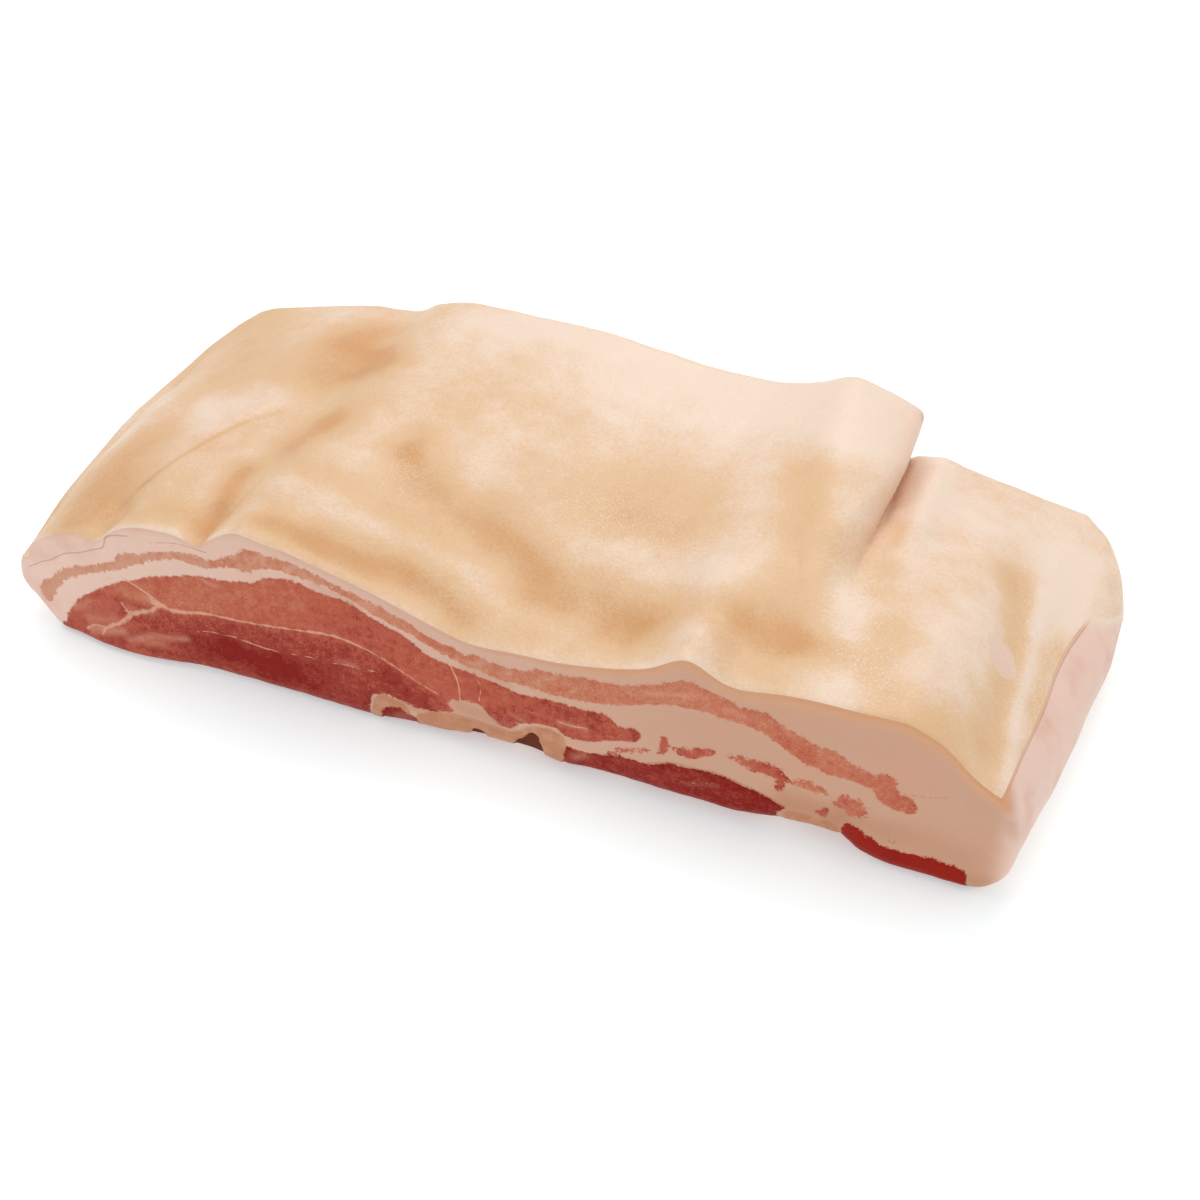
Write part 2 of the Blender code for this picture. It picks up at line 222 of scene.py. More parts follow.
# Where the rind is tan, partly stain and partly painted shade in hollows, creases and the fold's flank:
# (half width, strength, places along the line). Below zero it is paler, as painted light on the roll,
# the ridges, the rim by the cut and the back of the skin.
STAINS_AND_SHADING = (
    (11.5, 0.57, ((18.6, 78),)),
    (8.5, 0.68, ((24.6, 68), (23.6, 74))),
    (12, 0.38, ((20.1, 64),)),
    (9, 0.35, ((20.7, 86),)),
    (20, 0.32, ((3, 92), (5.4, 69))),
    (11, 0.13, ((25.4, 44), (26.2, 52))),
    (7.5, 0.49, ((24.7, 44), (24.5, 40), (22.8, 35))),
    (6.8, 0.6, ((34, 39.5),)),
    (6.5, 0.27, ((34.2, 46),)),
    (5.5, 0.57, ((19.9, 25), (20.5, 15), (20.7, 5))),
    (12, 0.41, ((6.9, 30), (5.3, 19), (5.2, 6))),
    (10, 0.35, ((8.7, 17), (8.1, 9))),
    (1, 0.32, ((16, 40.5), (13.7, 31), (12.5, 25), (11.4, 18), (10.7, 16))),
    (0.9, 0.16, ((10.6, 15.5), (9.6, 12.5), (8.6, 9))),
    (1, 0.15, ((16.2, 41), (18.6, 47))),
    (9.2, 0.5, ((37.2, 33), (39.9, 31), (45.2, 30), (49, 27))),
    (10.5, 0.54, ((51.5, 20), (56.7, 20), (61.5, 16))),
    (8, 0.16, ((59, 13), (61, 11))),
    (7, 0.62, ((27, 8), (31.3, 9), (35.2, 9), (39.2, 10), (43.3, 10), (46.5, 7))),
    (11, 0.68, ((71.5, 18), (74.5, 17))),
    (6, 0.34, ((76.6, 16), (80, 15))),
    (18, 0.28, ((53.2, 49), (57.6, 51), (60.8, 48))),
    (11, 0.14, ((35.6, 60), (38.5, 66))),
    (8.5, 0.34, ((71, 62), (72.7, 42), (73.6, 33))),
    (5, 0.36, ((90.5, 62), (91.8, 55), (92.6, 45), (93.1, 36), (92.9, 22), (92.8, 12))),
    (6, 0.27, ((82.6, 27), (82.6, 12))),
    (12, 0.37, ((85.5, 4), (88.3, 4), (90.5, 3))),
    (3.6, 0.13, ((96.6, 50), (96, 39), (95.7, 24), (95.6, 14))),
    (2.6, -0.26, ((93.8, 62), (94.3, 44), (94.7, 26), (95.3, 13), (95.8, 5))),
    (9, -0.3, ((95.5, 80), (96.8, 62))),
    (18, -0.13, ((85, 60), (88, 84), (93, 76))),
    (16, 0.19, ((8, 58), (15, 61), (23, 60))),
    (12, 0.1, ((9, 76), (13, 72))),
    (8, 0.24, ((24, 28), (30, 24), (37, 23), (44, 23))),
    (6, 0.32, ((12.5, 7), (16.5, 9), (19, 9))),
    (5, 0.32, ((31, 7), (37, 6))),
    (4.5, 0.2, ((51, 8), (53, 7))),
    (8, 0.3, ((56, 41), (60, 40))),
    (9, -0.15, ((65.5, 62), (66.2, 48))),
    (7, 0.24, ((80.2, 62), (80.6, 44), (80.6, 36))),
    (6, 0.16, ((92, 66), (92.5, 60))),
    (7, -0.36, ((78.4, 98), (79.3, 90), (79.2, 84))),
    (8, -0.16, ((88.5, 38), (87.5, 10))),
    (12, -0.13, ((7.8, 54), (13.9, 49), (16.5, 52))),
    (8, -0.18, ((12.1, 37), (9.9, 45))),
    (5.5, -0.1, ((31.2, 17), (39, 18), (45.3, 16), (49.4, 12))),
    (10, -0.15, ((55.9, 36), (60.6, 35), (65.5, 30))),
    (6, -0.12, ((67.5, 11), (68.6, 4))),
    (9, -0.2, ((78.7, 31), (80.2, 17), (81.3, 6))),
    (8, -0.14, ((3.8, 52), (3.8, 36))),
    (4, -0.5, ((1, 0.6), (22, 0.6))),
    (3, -0.24, ((23, 0.6), (96, 0.6))),
    (4.5, -0.16, ((75.6, 95), (75.8, 78))),
    (18, -0.34, ((34.5, 94), (42.9, 96), (56.7, 97), (69, 93))),
    (20, -0.13, ((51, 79), (62.6, 83))),
    (9, -0.34, ((70.8, 95), (72.8, 78))),
    (9, -0.12, ((74, 70), (75.2, 56))),
    (7, -0.18, ((80.8, 92), (80.6, 75), (81.2, 57), (82, 42))),
)
# Pink where blood or fat shows through, and orange-brown painted shade along the fold's crease and the
# wrinkle by the left step.
BLUSHES_AND_CREASE_SHADE = (
    (22, 0.1, ((5.5, 20), (10, 62))),
    (14, 0.16, ((18.6, 78), (20.5, 86))),
    (8, 0.22, ((23.8, 72),)),
    (6, 0.24, ((24.6, 43), (23.2, 36))),
    (6, 0.18, ((14.2, 31),)),
    (0.9, 0.8, ((76.9, 95), (77.05, 87), (77.3, 76))),
    (0.9, 0.45, ((77.3, 76), (77.6, 62), (77.8, 52))),
    (3.4, 0.14, ((78.2, 96), (78.5, 86), (78.6, 72))),
    (3.4, 0.26, ((76.2, 94), (76.5, 80), (76.9, 62), (77.4, 46))),
    (3.4, 0.15, ((79.5, 68), (80, 56))),
    (3.5, 0.3, ((19.9, 22), (20.6, 10), (20.8, 3))),
    (5, 0.16, ((39, 7),)),
    (4.5, 0.14, ((24, 42),)),
    (5, 0.14, ((33, 97), (30, 96))),
)
# Bare pale spots, where the skin is scuffed.
SCUFFS = (
    (4.2, 1.3, ((91.85, 36.2), (92.55, 33))),
    (1.2, 0.8, ((91.4, 43), (91.5, 41))),
    (2.8, 0.35, ((22.2, 36),)),
    (3, 0.3, ((87, 36),)),
)
# Painted highlights: where glints are painted on the rind as bright flecks.
PAINTED_GLINTS = (
    (20, 0.65, ((52, 45), (60, 35))),
    (12, 0.8, ((79, 36), (81, 20), (83, 10))),
    (10, 0.5, ((34.2, 36), (35.2, 30))),
    (20, 0.55, ((55, 76), (64, 70))),
    (10, 0.7, ((93, 80), (95, 45), (95.5, 20))),
    (15, 0.35, ((44, 14), (56, 10))),
)

# ---------------------------------------------------------------------------
# The layers on the cut: drawn on an upright sheet at the skin's front edge, in
# millimetres, as (along from the middle, height above the table)
# ---------------------------------------------------------------------------

SHEET_Y = -0.0732  # the sheet's place
# What stands in front of the sheet by 1 is drawn this much lower on it, and so much further left, by
# its place along the slab.
SHEET_FALL = 1.12
sheet_slide = line_through(((-0.175, 1.00), (0.172, 0.0)))

# Muscles: (redness at the left and right ends, fray of the edge, upper edge from left to
# right, lower edge from left to right).
STREAKY_STRIPE = (
    (-0.17, 0.16), 0.50,
    ((-164, 14), (-161, 18.6), (-158, 20.4), (-155.5, 23.2), (-152, 25.9), (-147, 28.5), (-143, 30.1),
     (-140, 31.2), (-136, 33), (-132, 35), (-130.5, 36.8), (-129, 38.6), (-127, 40.4), (-124, 41.4),
     (-121, 41.7), (-118, 43.5), (-112, 45.5), (-108, 47), (-104, 47.8), (-95, 47.6), (-92, 48.3),
     (-89, 50.2), (-86, 52.4), (-82.8, 53.6), (-81.3, 56), (-79, 56.4), (-70, 56.2), (-65, 55.8),
     (-60, 55), (-55, 53.2), (-50, 51.8), (-45, 50.2), (-40, 49), (-35, 48), (-32, 46.7), (-28, 45),
     (-24, 43), (-20, 41), (-17, 39.8), (-13, 39.3), (-10, 38.2), (-8, 37.2), (-6, 38), (-3, 38.5),
     (0, 37.8), (5, 37.3), (10, 37.4), (12, 38.2), (14, 39.3), (17, 39.8), (22, 40), (28, 41),
     (36, 42), (40, 43), (45, 44), (50, 46), (54, 47.8), (57, 49.5), (60, 51.5), (64, 51.4),
     (68, 50), (72, 49.4), (76, 48.2), (78, 47), (84, 47.5), (87, 46.8), (90, 44.5), (95, 42.5),
     (101, 40.2), (106, 40), (110, 37.5), (116, 35.3), (118, 34.2), (119.5, 36), (122, 36.3),
     (124.5, 34.5), (124.8, 31.5), (126, 29.6), (128.5, 30.3), (130.5, 28.5)),
    ((-163, 9), (-160.5, 9.4), (-159, 11.8), (-157, 15.2), (-155, 17.8), (-152, 21.2), (-149, 23.2),
     (-145, 25.2), (-137, 29), (-133, 31), (-129, 32.8), (-125, 35.4), (-118, 39.5), (-113, 41.8),
     (-109, 43.5), (-105, 44.6), (-103, 43.5), (-96, 44), (-93, 45), (-89, 46.5), (-86, 47.5),
     (-83, 46.8), (-80, 47.5), (-76, 49.5), (-72, 51), (-68, 51.5), (-60, 50.4), (-55, 50),
     (-50, 49), (-47, 48), (-43, 46.6), (-40, 44.5), (-34, 42.5), (-31, 41.3), (-28, 40.4),
     (-25, 39.5), (-21, 37.2), (-18, 36), (-14, 34.6), (-8, 33), (-4, 32.4), (2, 30.9), (10, 31.3),
     (15, 31), (20, 30.8), (24, 31.3), (32, 32), (40, 33.8), (44, 35), (48, 37), (52, 38.5),
     (56, 40), (60, 40.5), (67, 40.8), (76, 40.3), (80, 40.5), (84, 39.5), (87, 38), (90, 36),
     (93, 34), (97, 32), (101, 31), (105, 30), (115, 29.3), (118, 28), (119.5, 26), (121, 24.5),
     (123, 23.7), (126, 23.2), (129, 23.3), (131, 24.2)),
)
BROAD_MUSCLE = (
    (0.25, 0.43), 0.10,
    ((-157, -6), (-156, 2.5), (-155, 6), (-152, 10), (-149, 14), (-146, 16.7), (-142, 19.7),
     (-138, 22.2), (-134, 25), (-131, 27), (-128.5, 28.3), (-125, 29.6), (-122, 31.4), (-119, 33),
     (-115, 34.5), (-110, 36), (-105, 38), (-100, 39.4), (-95, 40), (-90, 40.6), (-85, 41.7),
     (-80, 43), (-78, 44), (-76, 46), (-72, 47.5), (-68, 48.6), (-63, 48.4), (-58, 47.1), (-50, 46.5),
     (-46, 45.8), (-43, 44.5), (-39, 42.5), (-35, 40.8), (-31, 39.4), (-28, 37.8), (-25, 36),
     (-21, 33), (-18, 32.2), (-15, 31.5), (-8, 30.7), (-4, 30), (0, 29.3), (4, 28.5), (8, 27.5),
     (10, 27.3), (14, 27.9), (20, 28.5), (30, 28.4), (35, 29), (38, 28.7), (39.5, 27), (40.8, 25.6),
     (43, 25.6), (47, 26.3), (48, 24)),
    ((-100, -6), (-46, -6), (-43, 2), (-42, 8), (-38, 10.3), (-33, 10), (-29, 9), (-26, 8.2),
     (-22, 8.8), (-18, 10), (-14.3, 10.6), (-13.4, 11.7), (-14.6, 13), (-15, 15), (-13.5, 16.6),
     (-11, 17), (-9, 18.2), (-7, 17.6), (-5, 18), (-3, 17), (-1.5, 14.5), (1, 12.2), (3, 11.4),
     (5, 11.2), (6.5, 12.2), (8, 14), (10, 15.2), (15, 16.6), (19, 17), (21.5, 16.8), (22.5, 15.5),
     (24, 14.8), (27, 14.6), (31, 15.1), (34, 16), (37, 17.6), (40, 18.8), (43, 19.6), (46, 20.5),
     (47.5, 22)),
)
FOOT_MUSCLE = (
    (0.69, 0.80), 0.05,
    ((22, -5), (23.6, 5), (24.2, 10.3), (28, 10.2), (32, 10.6), (36, 11.3), (39, 12.3), (43, 13),
     (48, 12.9), (52, 13.4), (55, 14.6), (58, 16.1), (62, 16), (67, 16.4), (71, 17.1), (76, 16.6),
     (80, 15.8), (84, 14.6), (88, 13.5), (91, 12), (93.8, 11)),
    ((60, -6), (90, -6), (91, 7), (92, 9.4)),
)
END_STRIP = (
    (1.30, 1.24), 0.45,
    ((110, -6), (110.8, 8), (111.2, 11), (112.5, 12.4), (114, 11.6), (116.5, 10.8), (117.5, 9.2),
     (119, 9.6), (120.5, 8.4), (122, 7.5), (126, 7), (130, 6.8), (134, 7.1), (138, 8), (140, 6.9),
     (144, 7.3), (147, 6), (148.4, 5)),
    ((130, -6), (151, -6), (148.8, 0.6)),
)
MEMBRANE_EYE = (
    (0.82, 0.66), 0.80,
    ((-38.5, -5), (-38.6, 3), (-37, 5), (-34, 6.7), (-31, 6.9), (-29.5, 4.5)),
    ((-33, -6), (-26, -5), (-26, 3)),
)
SLIVERS = (
    ((0.30, 0.30), 0.80, ((37.5, 12.8), (42, 16), (45, 17.9), (50, 19.1)),
     ((41, 13.3), (45, 15.3), (50, 18))),
    ((0.34, 0.34), 0.50, ((53.3, 19), (54.4, 22), (54.4, 26), (56.6, 26.5)), ((55, 18.4), (57, 20))),
    ((0.42, 0.32), 0.50, ((57.8, 22.3), (60, 23), (63, 24.3), (67, 25.8), (70, 27)),
     ((60, 20.8), (63, 20), (66, 21.3), (69, 23), (71.3, 25))),
    ((0.24, 0.44), 0.85,
     ((74.5, 26), (78, 27.5), (83, 27.3), (89, 27.3), (91.3, 26), (92.3, 24.5), (93.8, 22.5)),
     ((77, 24.8), (80, 23.2), (84, 22.8), (87, 23), (89.5, 21.8), (90.3, 19.8), (89.9, 18), (91, 17),
      (92.2, 18.5), (92.6, 21))),
    ((0.12, 0.12), 1.30, ((93.5, 22.5), (98, 24.6), (103, 24), (106.5, 22)), ((97, 21.2), (102, 21.2))),
    ((0.20, 0.20), 1.10, ((107.5, 19), (109.3, 22.3), (112, 23.4), (115, 22.5), (117.3, 20)),
     ((109.5, 17.6), (111.5, 16.2), (114.5, 15.6), (116.8, 17))),
    ((0.42, 0.42), 0.20, ((102.3, 13.2), (104, 15.2), (105.8, 16.4), (106.4, 14)),
     ((103.6, 12.4), (105.6, 12))),
)
MUSCLES = (STREAKY_STRIPE, BROAD_MUSCLE, FOOT_MUSCLE, END_STRIP, MEMBRANE_EYE, *SLIVERS)

LEAN_REDNESS = 0.16  # added to the redness of every muscle
# Darker and redder parts of the lean: (half width, redness, places). Below zero they are paler.
DEEP_PATCHES = (
    (6.5, 0.22, ((-106, 8), (-97, 10))),
    (4.8, 0.40, ((-92, 11), (-84, 10), (-74, 10))),
    (4.0, 0.12, ((-80, 4), (-64, 4))),
    (4.0, -0.09, ((-52, 25), (-44, 25))),
    (4.0, 0.14, ((-68, 12), (-58, 12))),
    (5.0, 0.08, ((-90, 4), (-66, 6), (-44, 5))),
    (3.0, 0.08, ((-127, 9), (-121, 10))),
    (7.0, 0.05, ((-35, 17), (-24, 12))),
    (4.0, 0.08, ((2, 15), (8, 18))),
    (5.0, 0.06, ((24, 22), (34, 22))),
    (3.0, -0.10, ((-118, 4), (-108, 5))),
    (6.0, -0.08, ((-105, 34), (-92, 33), (-80, 36))),
    (4.0, -0.12, ((-110, 26), (-96, 27))),
    (4.0, -0.10, ((-128, 23), (-122, 22))),
    (5.0, -0.16, ((-148, 11), (-138, 15))),
    (3.0, -0.08, ((-130, 8), (-124, 9))),
    (3.0, 0.06, ((42, 22), (46, 23))),
    (3.0, 0.15, ((-20, 38.5), (-12, 37))),
    (3.0, 0.13, ((-92, 47), (-87, 48.5))),
    (2.5, 0.10, ((-52, 50.5), (-44, 48.5))),
    (3.0, 0.12, ((125, 27), (129, 26))),
    (5.0, -0.10, ((-76, 41), (-64, 41))),
    (4.0, 0.10, ((-54, 38), (-46, 38))),
    (3.0, 0.11, ((92, 38), (98, 36))),
)
# The lean is darker below the middle seam: how much, over what depth, and where the seam fades out.
UNDER_SEAM_REDNESS = 0.20
UNDER_SEAM_DEPTH = 5.0
UNDER_SEAM_START = 0.3  # share of that depth by which it begins above the seam
UNDER_SEAM_END = -14.0
UNDER_SEAM_FADE = 10.0
# The lean is painted darker along its foot as shade where it meets the table: how much, and up to how high.
FOOT_SHADE_REDNESS = 0.30
FOOT_SHADE_HEIGHT = 2.2
FOOT_SHADE_LINE_TOP = 0.9  # a dark line of painted shade runs along the foot up to this height
FOOT_SHADE_LINE_FADE = 0.9
# The fat is painted warmer and browner from pale at the left end to this far right, as painted shade, and is
# pale again at the right corner, where it is painted as lit.
FAT_SHADE_START = -172.0
FAT_SHADE_FULL = 63.0
RIGHT_CORNER = 152.0
RIGHT_CORNER_FADE = 9.0

# Browner fat at the foot of the cut: (half width, share, places).
BROWN_FAT = (
    (5.0, 0.55, ((-12, 14), (-4, 14), (2, 12))),
    (5.5, 0.58, ((94, 14), (102, 14), (108, 12))),
    (5.0, 0.36, ((112, 16), (122, 13))),
    (6.0, 0.28, ((130, 14), (146, 11))),
    (4.0, 0.40, ((151, 3), (154, 4))),
    (2.5, 0.50, ((-30, 8), (-24, 9))),
    (2.0, 0.24, ((-58, 48.8), (-44, 46.2))),
    (2.4, 0.26, ((-8, 31.6), (5, 30))),
    (2.6, 0.30, ((157.5, 30), (158.5, 27))),
)

# Smears of soft fat in the lean: (half width, share, places).
SMEARS = (
    (1.3, 0.42, ((-132, 1.2), (-126, 4.8), (-121, 7.2), (-115, 8.2), (-109, 9.8))),
    (1.4, 0.30, ((-126, 2.2), (-119, 4.2))),
    (1.2, 0.30, ((-152, 9), (-147, 12), (-145, 15))),
    (2.0, 0.46, ((-146, 1.5), (-140, 3.0), (-134, 5.0))),
    (1.4, 0.25, ((-131, 17), (-124, 16), (-119, 18))),
    (1.5, 0.34, ((-121, 23.5), (-116, 22))),
    (2.0, 0.30, ((-146, 6), (-136, 9))),
    (1.6, 0.40, ((-42, 47), (-38, 46))),
    (0.8, 0.40, ((-98, 38.5), (-95, 37.5), (-93, 37.5))),
    (0.8, 0.45, ((50, 42.3), (57, 44.8), (66, 46.8))),
    (1.2, 0.35, ((74, 44.5), (79, 44))),
    (0.8, 0.35, ((90, 44.3), (93, 41.5))),
    (1.5, 0.35, ((27, 7), (30, 9))),
    (0.7, 0.14, ((62, 9), (73, 12.5))),
    (1.1, 0.35, ((22, 20), (31, 20.5))),
    (0.9, 0.32, ((-53, 19.4), (-46, 19.6))),
    (1.0, 0.30, ((10, 16.5), (6, 18))),
    (2.0, 0.16, ((-33, 2.5), (-29, 4.5))),
    (1.5, 0.30, ((-14, 15), (-12, 12))),
)

# Tan membrane that wraps the foot of the cut, as closed outlines.
MEMBRANES = (
    ((-42.5, -5), (-42, 5), (-41, 8.6), (-38, 10.4), (-34, 10), (-30.5, 8.6), (-29, 6), (-28.5, 3),
     (-28.5, -5)),
    ((-27.5, -5), (-27, 4.5), (-24, 7.2), (-20, 9.4), (-14, 10), (-8, 10.5), (-3, 10.1), (1, 9.6),
     (4, 9.8), (7.5, 11), (9.5, 12.5), (12, 14.8), (16, 16), (20, 16), (22.8, 14.6), (24.2, 11.5),
     (24.2, -5)),
    ((92, -5), (93, 9), (96, 10.6), (101, 11), (106, 11), (109.6, 9.4), (110.6, 6), (110.6, -5)),
)
# The pocket between two folds of membrane, and a small one beside it.
POCKETS = (
    ((6, -5), (7.2, 6.2), (9.8, 8.6), (12, 11.8), (13.5, 12.6), (14.9, 11.8), (15.5, 9), (16.6, 5.2),
     (17, -5)),
    ((-9, -5), (-7.6, 5.4), (-5.6, 7.2), (-4.4, 6.9), (-2.6, 5.4), (-1, -5)),
)
# Seams of pale tissue between the muscles: (half width at the left, at the right, places).
SEAMS = (
    (0.45, 0.55, ((-128.8, 29.2), (-124, 27), (-120, 25), (-117, 22))),
    (1.10, 0.85, ((-118, 22.2), (-113, 20.8), (-108, 21.4))),
    (0.90, 0.40, ((-108, 21.4), (-104, 22.6), (-100, 23.6), (-94, 24.2))),
    (0.40, 0.42, ((-94, 24.2), (-90, 24.5), (-80, 25.6), (-70, 27.2), (-60, 29))),
    (0.60, 0.28, ((-60, 29), (-52, 29.6), (-45, 28.6), (-40, 27.2))),
    (0.26, 0.20, ((-40, 27.2), (-35, 25), (-30, 22.4), (-25, 20), (-18, 17))),
    (0.55, 0.95, ((-142.5, 1), (-141, 3.6), (-138, 6), (-134, 8.5), (-131.5, 11), (-129, 13.9))),
    (1.00, 0.75, ((-129, 13.9), (-126, 15.4), (-122, 17.3), (-118, 20.6))),
    (0.35, 0.28, ((-131.8, 17.6), (-130, 14))),
    (0.50, 0.40, ((-148, 1.5), (-145, 3.8), (-141, 3.8))),
    (0.22, 0.26, ((-104, 14.4), (-100, 16), (-96, 16.4), (-90.5, 16.8), (-84, 16), (-79, 15.6))),
    (0.20, 0.22, ((-79, 15.6), (-72, 16), (-65, 17.2), (-59, 17.6))),
    (0.26, 0.24, ((-54, 17.8), (-50, 18.6), (-44, 18.6), (-39, 19.4))),
    (0.32, 0.28, ((-13.6, 31.3), (-12, 28), (-11, 23), (-10.8, 17))),
    (0.24, 0.22, ((-4.2, 28.3), (-3.6, 25), (-4.4, 19))),
    (0.22, 0.16, ((12, 21), (17.5, 21))),
    (0.26, 0.22, ((22, 20.2), (26, 20), (31, 20.8))),
    (0.20, 0.16, ((-62.5, 40), (-60, 40.8))),
    (0.14, 0.14, ((61, 9.5), (66, 10.5), (72, 13))),
    (0.24, 0.20, ((24, 11.4), (31, 11.4), (38, 13.6), (44, 17))),
)
# The seam under which the broad muscle is darker.
middle_seam = line_through((
    (-118, 21.5), (-108, 21.6), (-100, 23.6), (-90, 24.5), (-80, 25.6), (-70, 27.2), (-60, 29),
    (-52, 29.6), (-45, 28.6), (-35, 25), (-25, 20), (-18, 17),
))
# Thin dark lines, in the fat and along the folds of membrane, as the seams are given.
VEINS = (
    (0.16, 0.22, ((-166, 22.5), (-160, 26.5), (-156, 28.6), (-150, 33), (-144, 35.2), (-138, 38.4),
                  (-134, 40.5), (-132, 45), (-129, 47), (-124, 48.3))),
    (0.14, 0.20, ((-115, 48.2), (-108, 50.4), (-102, 51), (-95, 50.6))),
    (0.16, 0.14, ((127, 30.6), (134, 32), (140, 34.5))),
    (0.20, 0.24, ((7.6, 6.2), (9.8, 8.8), (12, 12), (13.6, 12.9))),
    (0.24, 0.20, ((13.6, 12.9), (15, 11.8), (15.7, 9), (16.8, 5.4))),
    (0.14, 0.14, ((-16, 10), (-8, 10.6), (0, 9.8), (4, 9.9))),
    (0.22, 0.22, ((51, 13.6), (55, 15), (58, 16.4), (67, 16.7), (71, 17.4), (80, 16.1), (88, 13.8),
                  (93, 11.6))),
    (0.18, 0.18, ((124.8, 10.2), (125.2, 9.2), (126.4, 9.2), (126.6, 10.2))),
)

# ---------------------------------------------------------------------------
# Sizes of the fine surface
# ---------------------------------------------------------------------------

LATTICE_STEPS = ((0, 20), (0, 16), (1, 80), (2, 48))  # (axis, parts that each edge is cut into)
FOLD_BUNCHING = 0.45  # how much closer the lattice's cuts stand at the fold
FOLD_BUNCHING_REACH = 0.05  # in shares of LENGTH

# How the layers wander between the front cut and the back cut, in metres, with turns in radians.
LAYER_TURN = 0.020  # how far the wander takes to begin, in from the front cut
LAYER_TURN_WAIT = 0.2  # share of that before it begins
LAYER_WANDER = 0.030  # how far they slide along the slab
WANDER_TURN = 3.1  # from cut to cut
WANDER_START = 0.4
WANDER_LEVEL = 0.39  # the wave's height at the front cut, so that it starts from nothing
RIPPLE = 0.25  # a finer wave on top, as a share of the wander
RIPPLE_TURN = 9.0
RIPPLE_SLANT = 40  # per metre along the slab
LIFT = 0.07  # how far the layers rise and sink, as a share of the thickness
LIFT_TURN = 7.0
LIFT_SLANT = 23
DEEP_DROP = 1.5 * MM  # and how much lower they lie than at the front cut

# Soft relief of the raw surfaces, as waves: (height, width, seed), in millimetres.
SKIN_WAVES = ((0.35, 16, 1), (0.12, 5, 2))
CUT_WAVES = ((0.26, 12, 3), (0.12, 3.5, 4))

# Relief on the cuts, in millimetres: how far in from its edge each form reaches its full height.
LEAN_ROUNDING = 1.6
SEAM_HALF_WIDTH = 1.5  # in half widths of the seam's line
SEAM_START = 0.8
MEMBRANE_ROUNDING = 2.0
MEMBRANE_OVER_LEAN = 0.5  # membrane stands out only where the lean is shallower than this
POCKET_LIP = 0.3
POCKET_WALL = 2.2
SKIN_EDGE_FADE = 4.0  # the relief fades in from the skin's edge over this
FLOOR_FADE = 1.5  # and from the table

# The rind's edge on the cuts: how thick it is, in millimetres, and how strongly it shows.
RIND_ON_BACK = 2.6
RIND_ON_RIGHT_END = 0.8
RIND_ON_FRONT = (0.9, 5.4)  # from the left to the right
RIND_STRENGTH = 0.80
RIND_STRENGTH_ON_FRONT = (0.10, 0.85)
RIND_SOLID = 0.2  # share of the thickness before it begins to fade
RIND_TURN_START = -0.030  # on the front cut, where the left's begins to turn into the right's
RIND_TURN = 0.100  # and how long that takes
FAINT_RIND_X = 0.074  # on the front cut, where the rind's edge shows less
FAINT_RIND_HALF_WIDTH = 0.030
FAINT_RIND_SHARE = 0.35
FRONT_CORNER = 0.004  # how far behind the front cut another side begins
FRONT_CORNER_FADE = 0.006
RIGHT_END_X = 0.150  # and where along the slab the right end begins
RIGHT_END_FADE = 0.006

# Where the rind wraps over the right end, in shares of WIDTH: it starts here under the skin, runs
# this much further back from the skin to the table, and fades in over this.
WRAP_START = 0.645
WRAP_SLANT = 0.38
WRAP_FADE = 0.07

# The painted shadow line under the rind's cut edge at the right end: its depth and half width in
# millimetres, and where it begins.
END_SHADE_LINE_DEPTH = 0.7
END_SHADE_LINE_HALF_WIDTH = 0.13
END_SHADE_LINE_X = 0.148
END_SHADE_LINE_Y = SHEET_Y + 0.001
END_SHADE_LINE_START = 0.04  # share of WIDTH

FAR = 99.0  # past every distance on the sheet
NEARLY = 1e-5  # metres within which a point lies on a side


def ease(t):
    """0 below 0, 1 above 1, and smooth between."""
    t = np.clip(t, 0.0, 1.0)
    return t * t * (3 - 2 * t)


def mix(a, b, t):
    """From a, where t is 0, to b, where it is 1."""
    return a + (b - a) * t


def bell(distance, half_width):
    """1 at no distance, falling softly to almost nothing at twice the half width."""
    return np.exp(-((distance / half_width) ** 2))


def along(x):
    """Share of LENGTH from the left end."""
    return x / LENGTH + 0.5


def across(y):
    """Share of WIDTH from the front cut."""
    return y / WIDTH + 0.5


def fold_strength(v):
    """How far the fold has risen, from none near the front cut to 1 at the back."""
    return ease((v - FOLD_START) / (FOLD_FULL - FOLD_START))


def fold_line(v):
    """Where along the slab the middle of the fold's step stands."""
    return FOLD_X + FOLD_SLANT * (1 - v)


def past_fold(x, v):
    """0 left of the fold's step, 1 right of it."""
    wall = mix(FOLD_WALL_FRONT, FOLD_WALL_BACK, fold_strength(v))
    return ease((x - fold_line(v)) / wall + 0.5)


def offset_from_run(x, y, a, b):
    """Distance to one straight run, and the signed distance to the line it lies on."""
    run_x, run_y = b[0] - a[0], b[1] - a[1]
    length = max(np.hypot(run_x, run_y), 1e-9)
    share = np.clip(((x - a[0]) * run_x + (y - a[1]) * run_y) / length**2, 0.0, 1.0)
    aside = ((x - a[0]) * run_y - (y - a[1]) * run_x) / length
    return np.hypot(x - a[0] - share * run_x, y - a[1] - share * run_y), aside


def sum_of_strokes(x, y, strokes):
    """What soft strokes add up to at each point, from (half width, amount, places along it)."""
    total = np.zeros(x.shape)
    for half_width, amount, places in strokes:
        runs = zip(places, places[1:] or places)
        nearest = np.min([offset_from_run(x, y, a, b)[0] for a, b in runs], axis=0)
        total += amount * bell(nearest, half_width)
    return total


def sum_on_skin(x, y, strokes):
    """What strokes on the skin add up to, with places in per cent of LENGTH and WIDTH."""
    length, width = LENGTH / MM, WIDTH / MM
    in_plan = (
        (half_width, amount, [((u / 100 - 0.5) * length, (v / 100 - 0.5) * width) for u, v in places])
        for half_width, amount, places in strokes
    )
    return sum_of_strokes(x / MM, y / MM, in_plan)


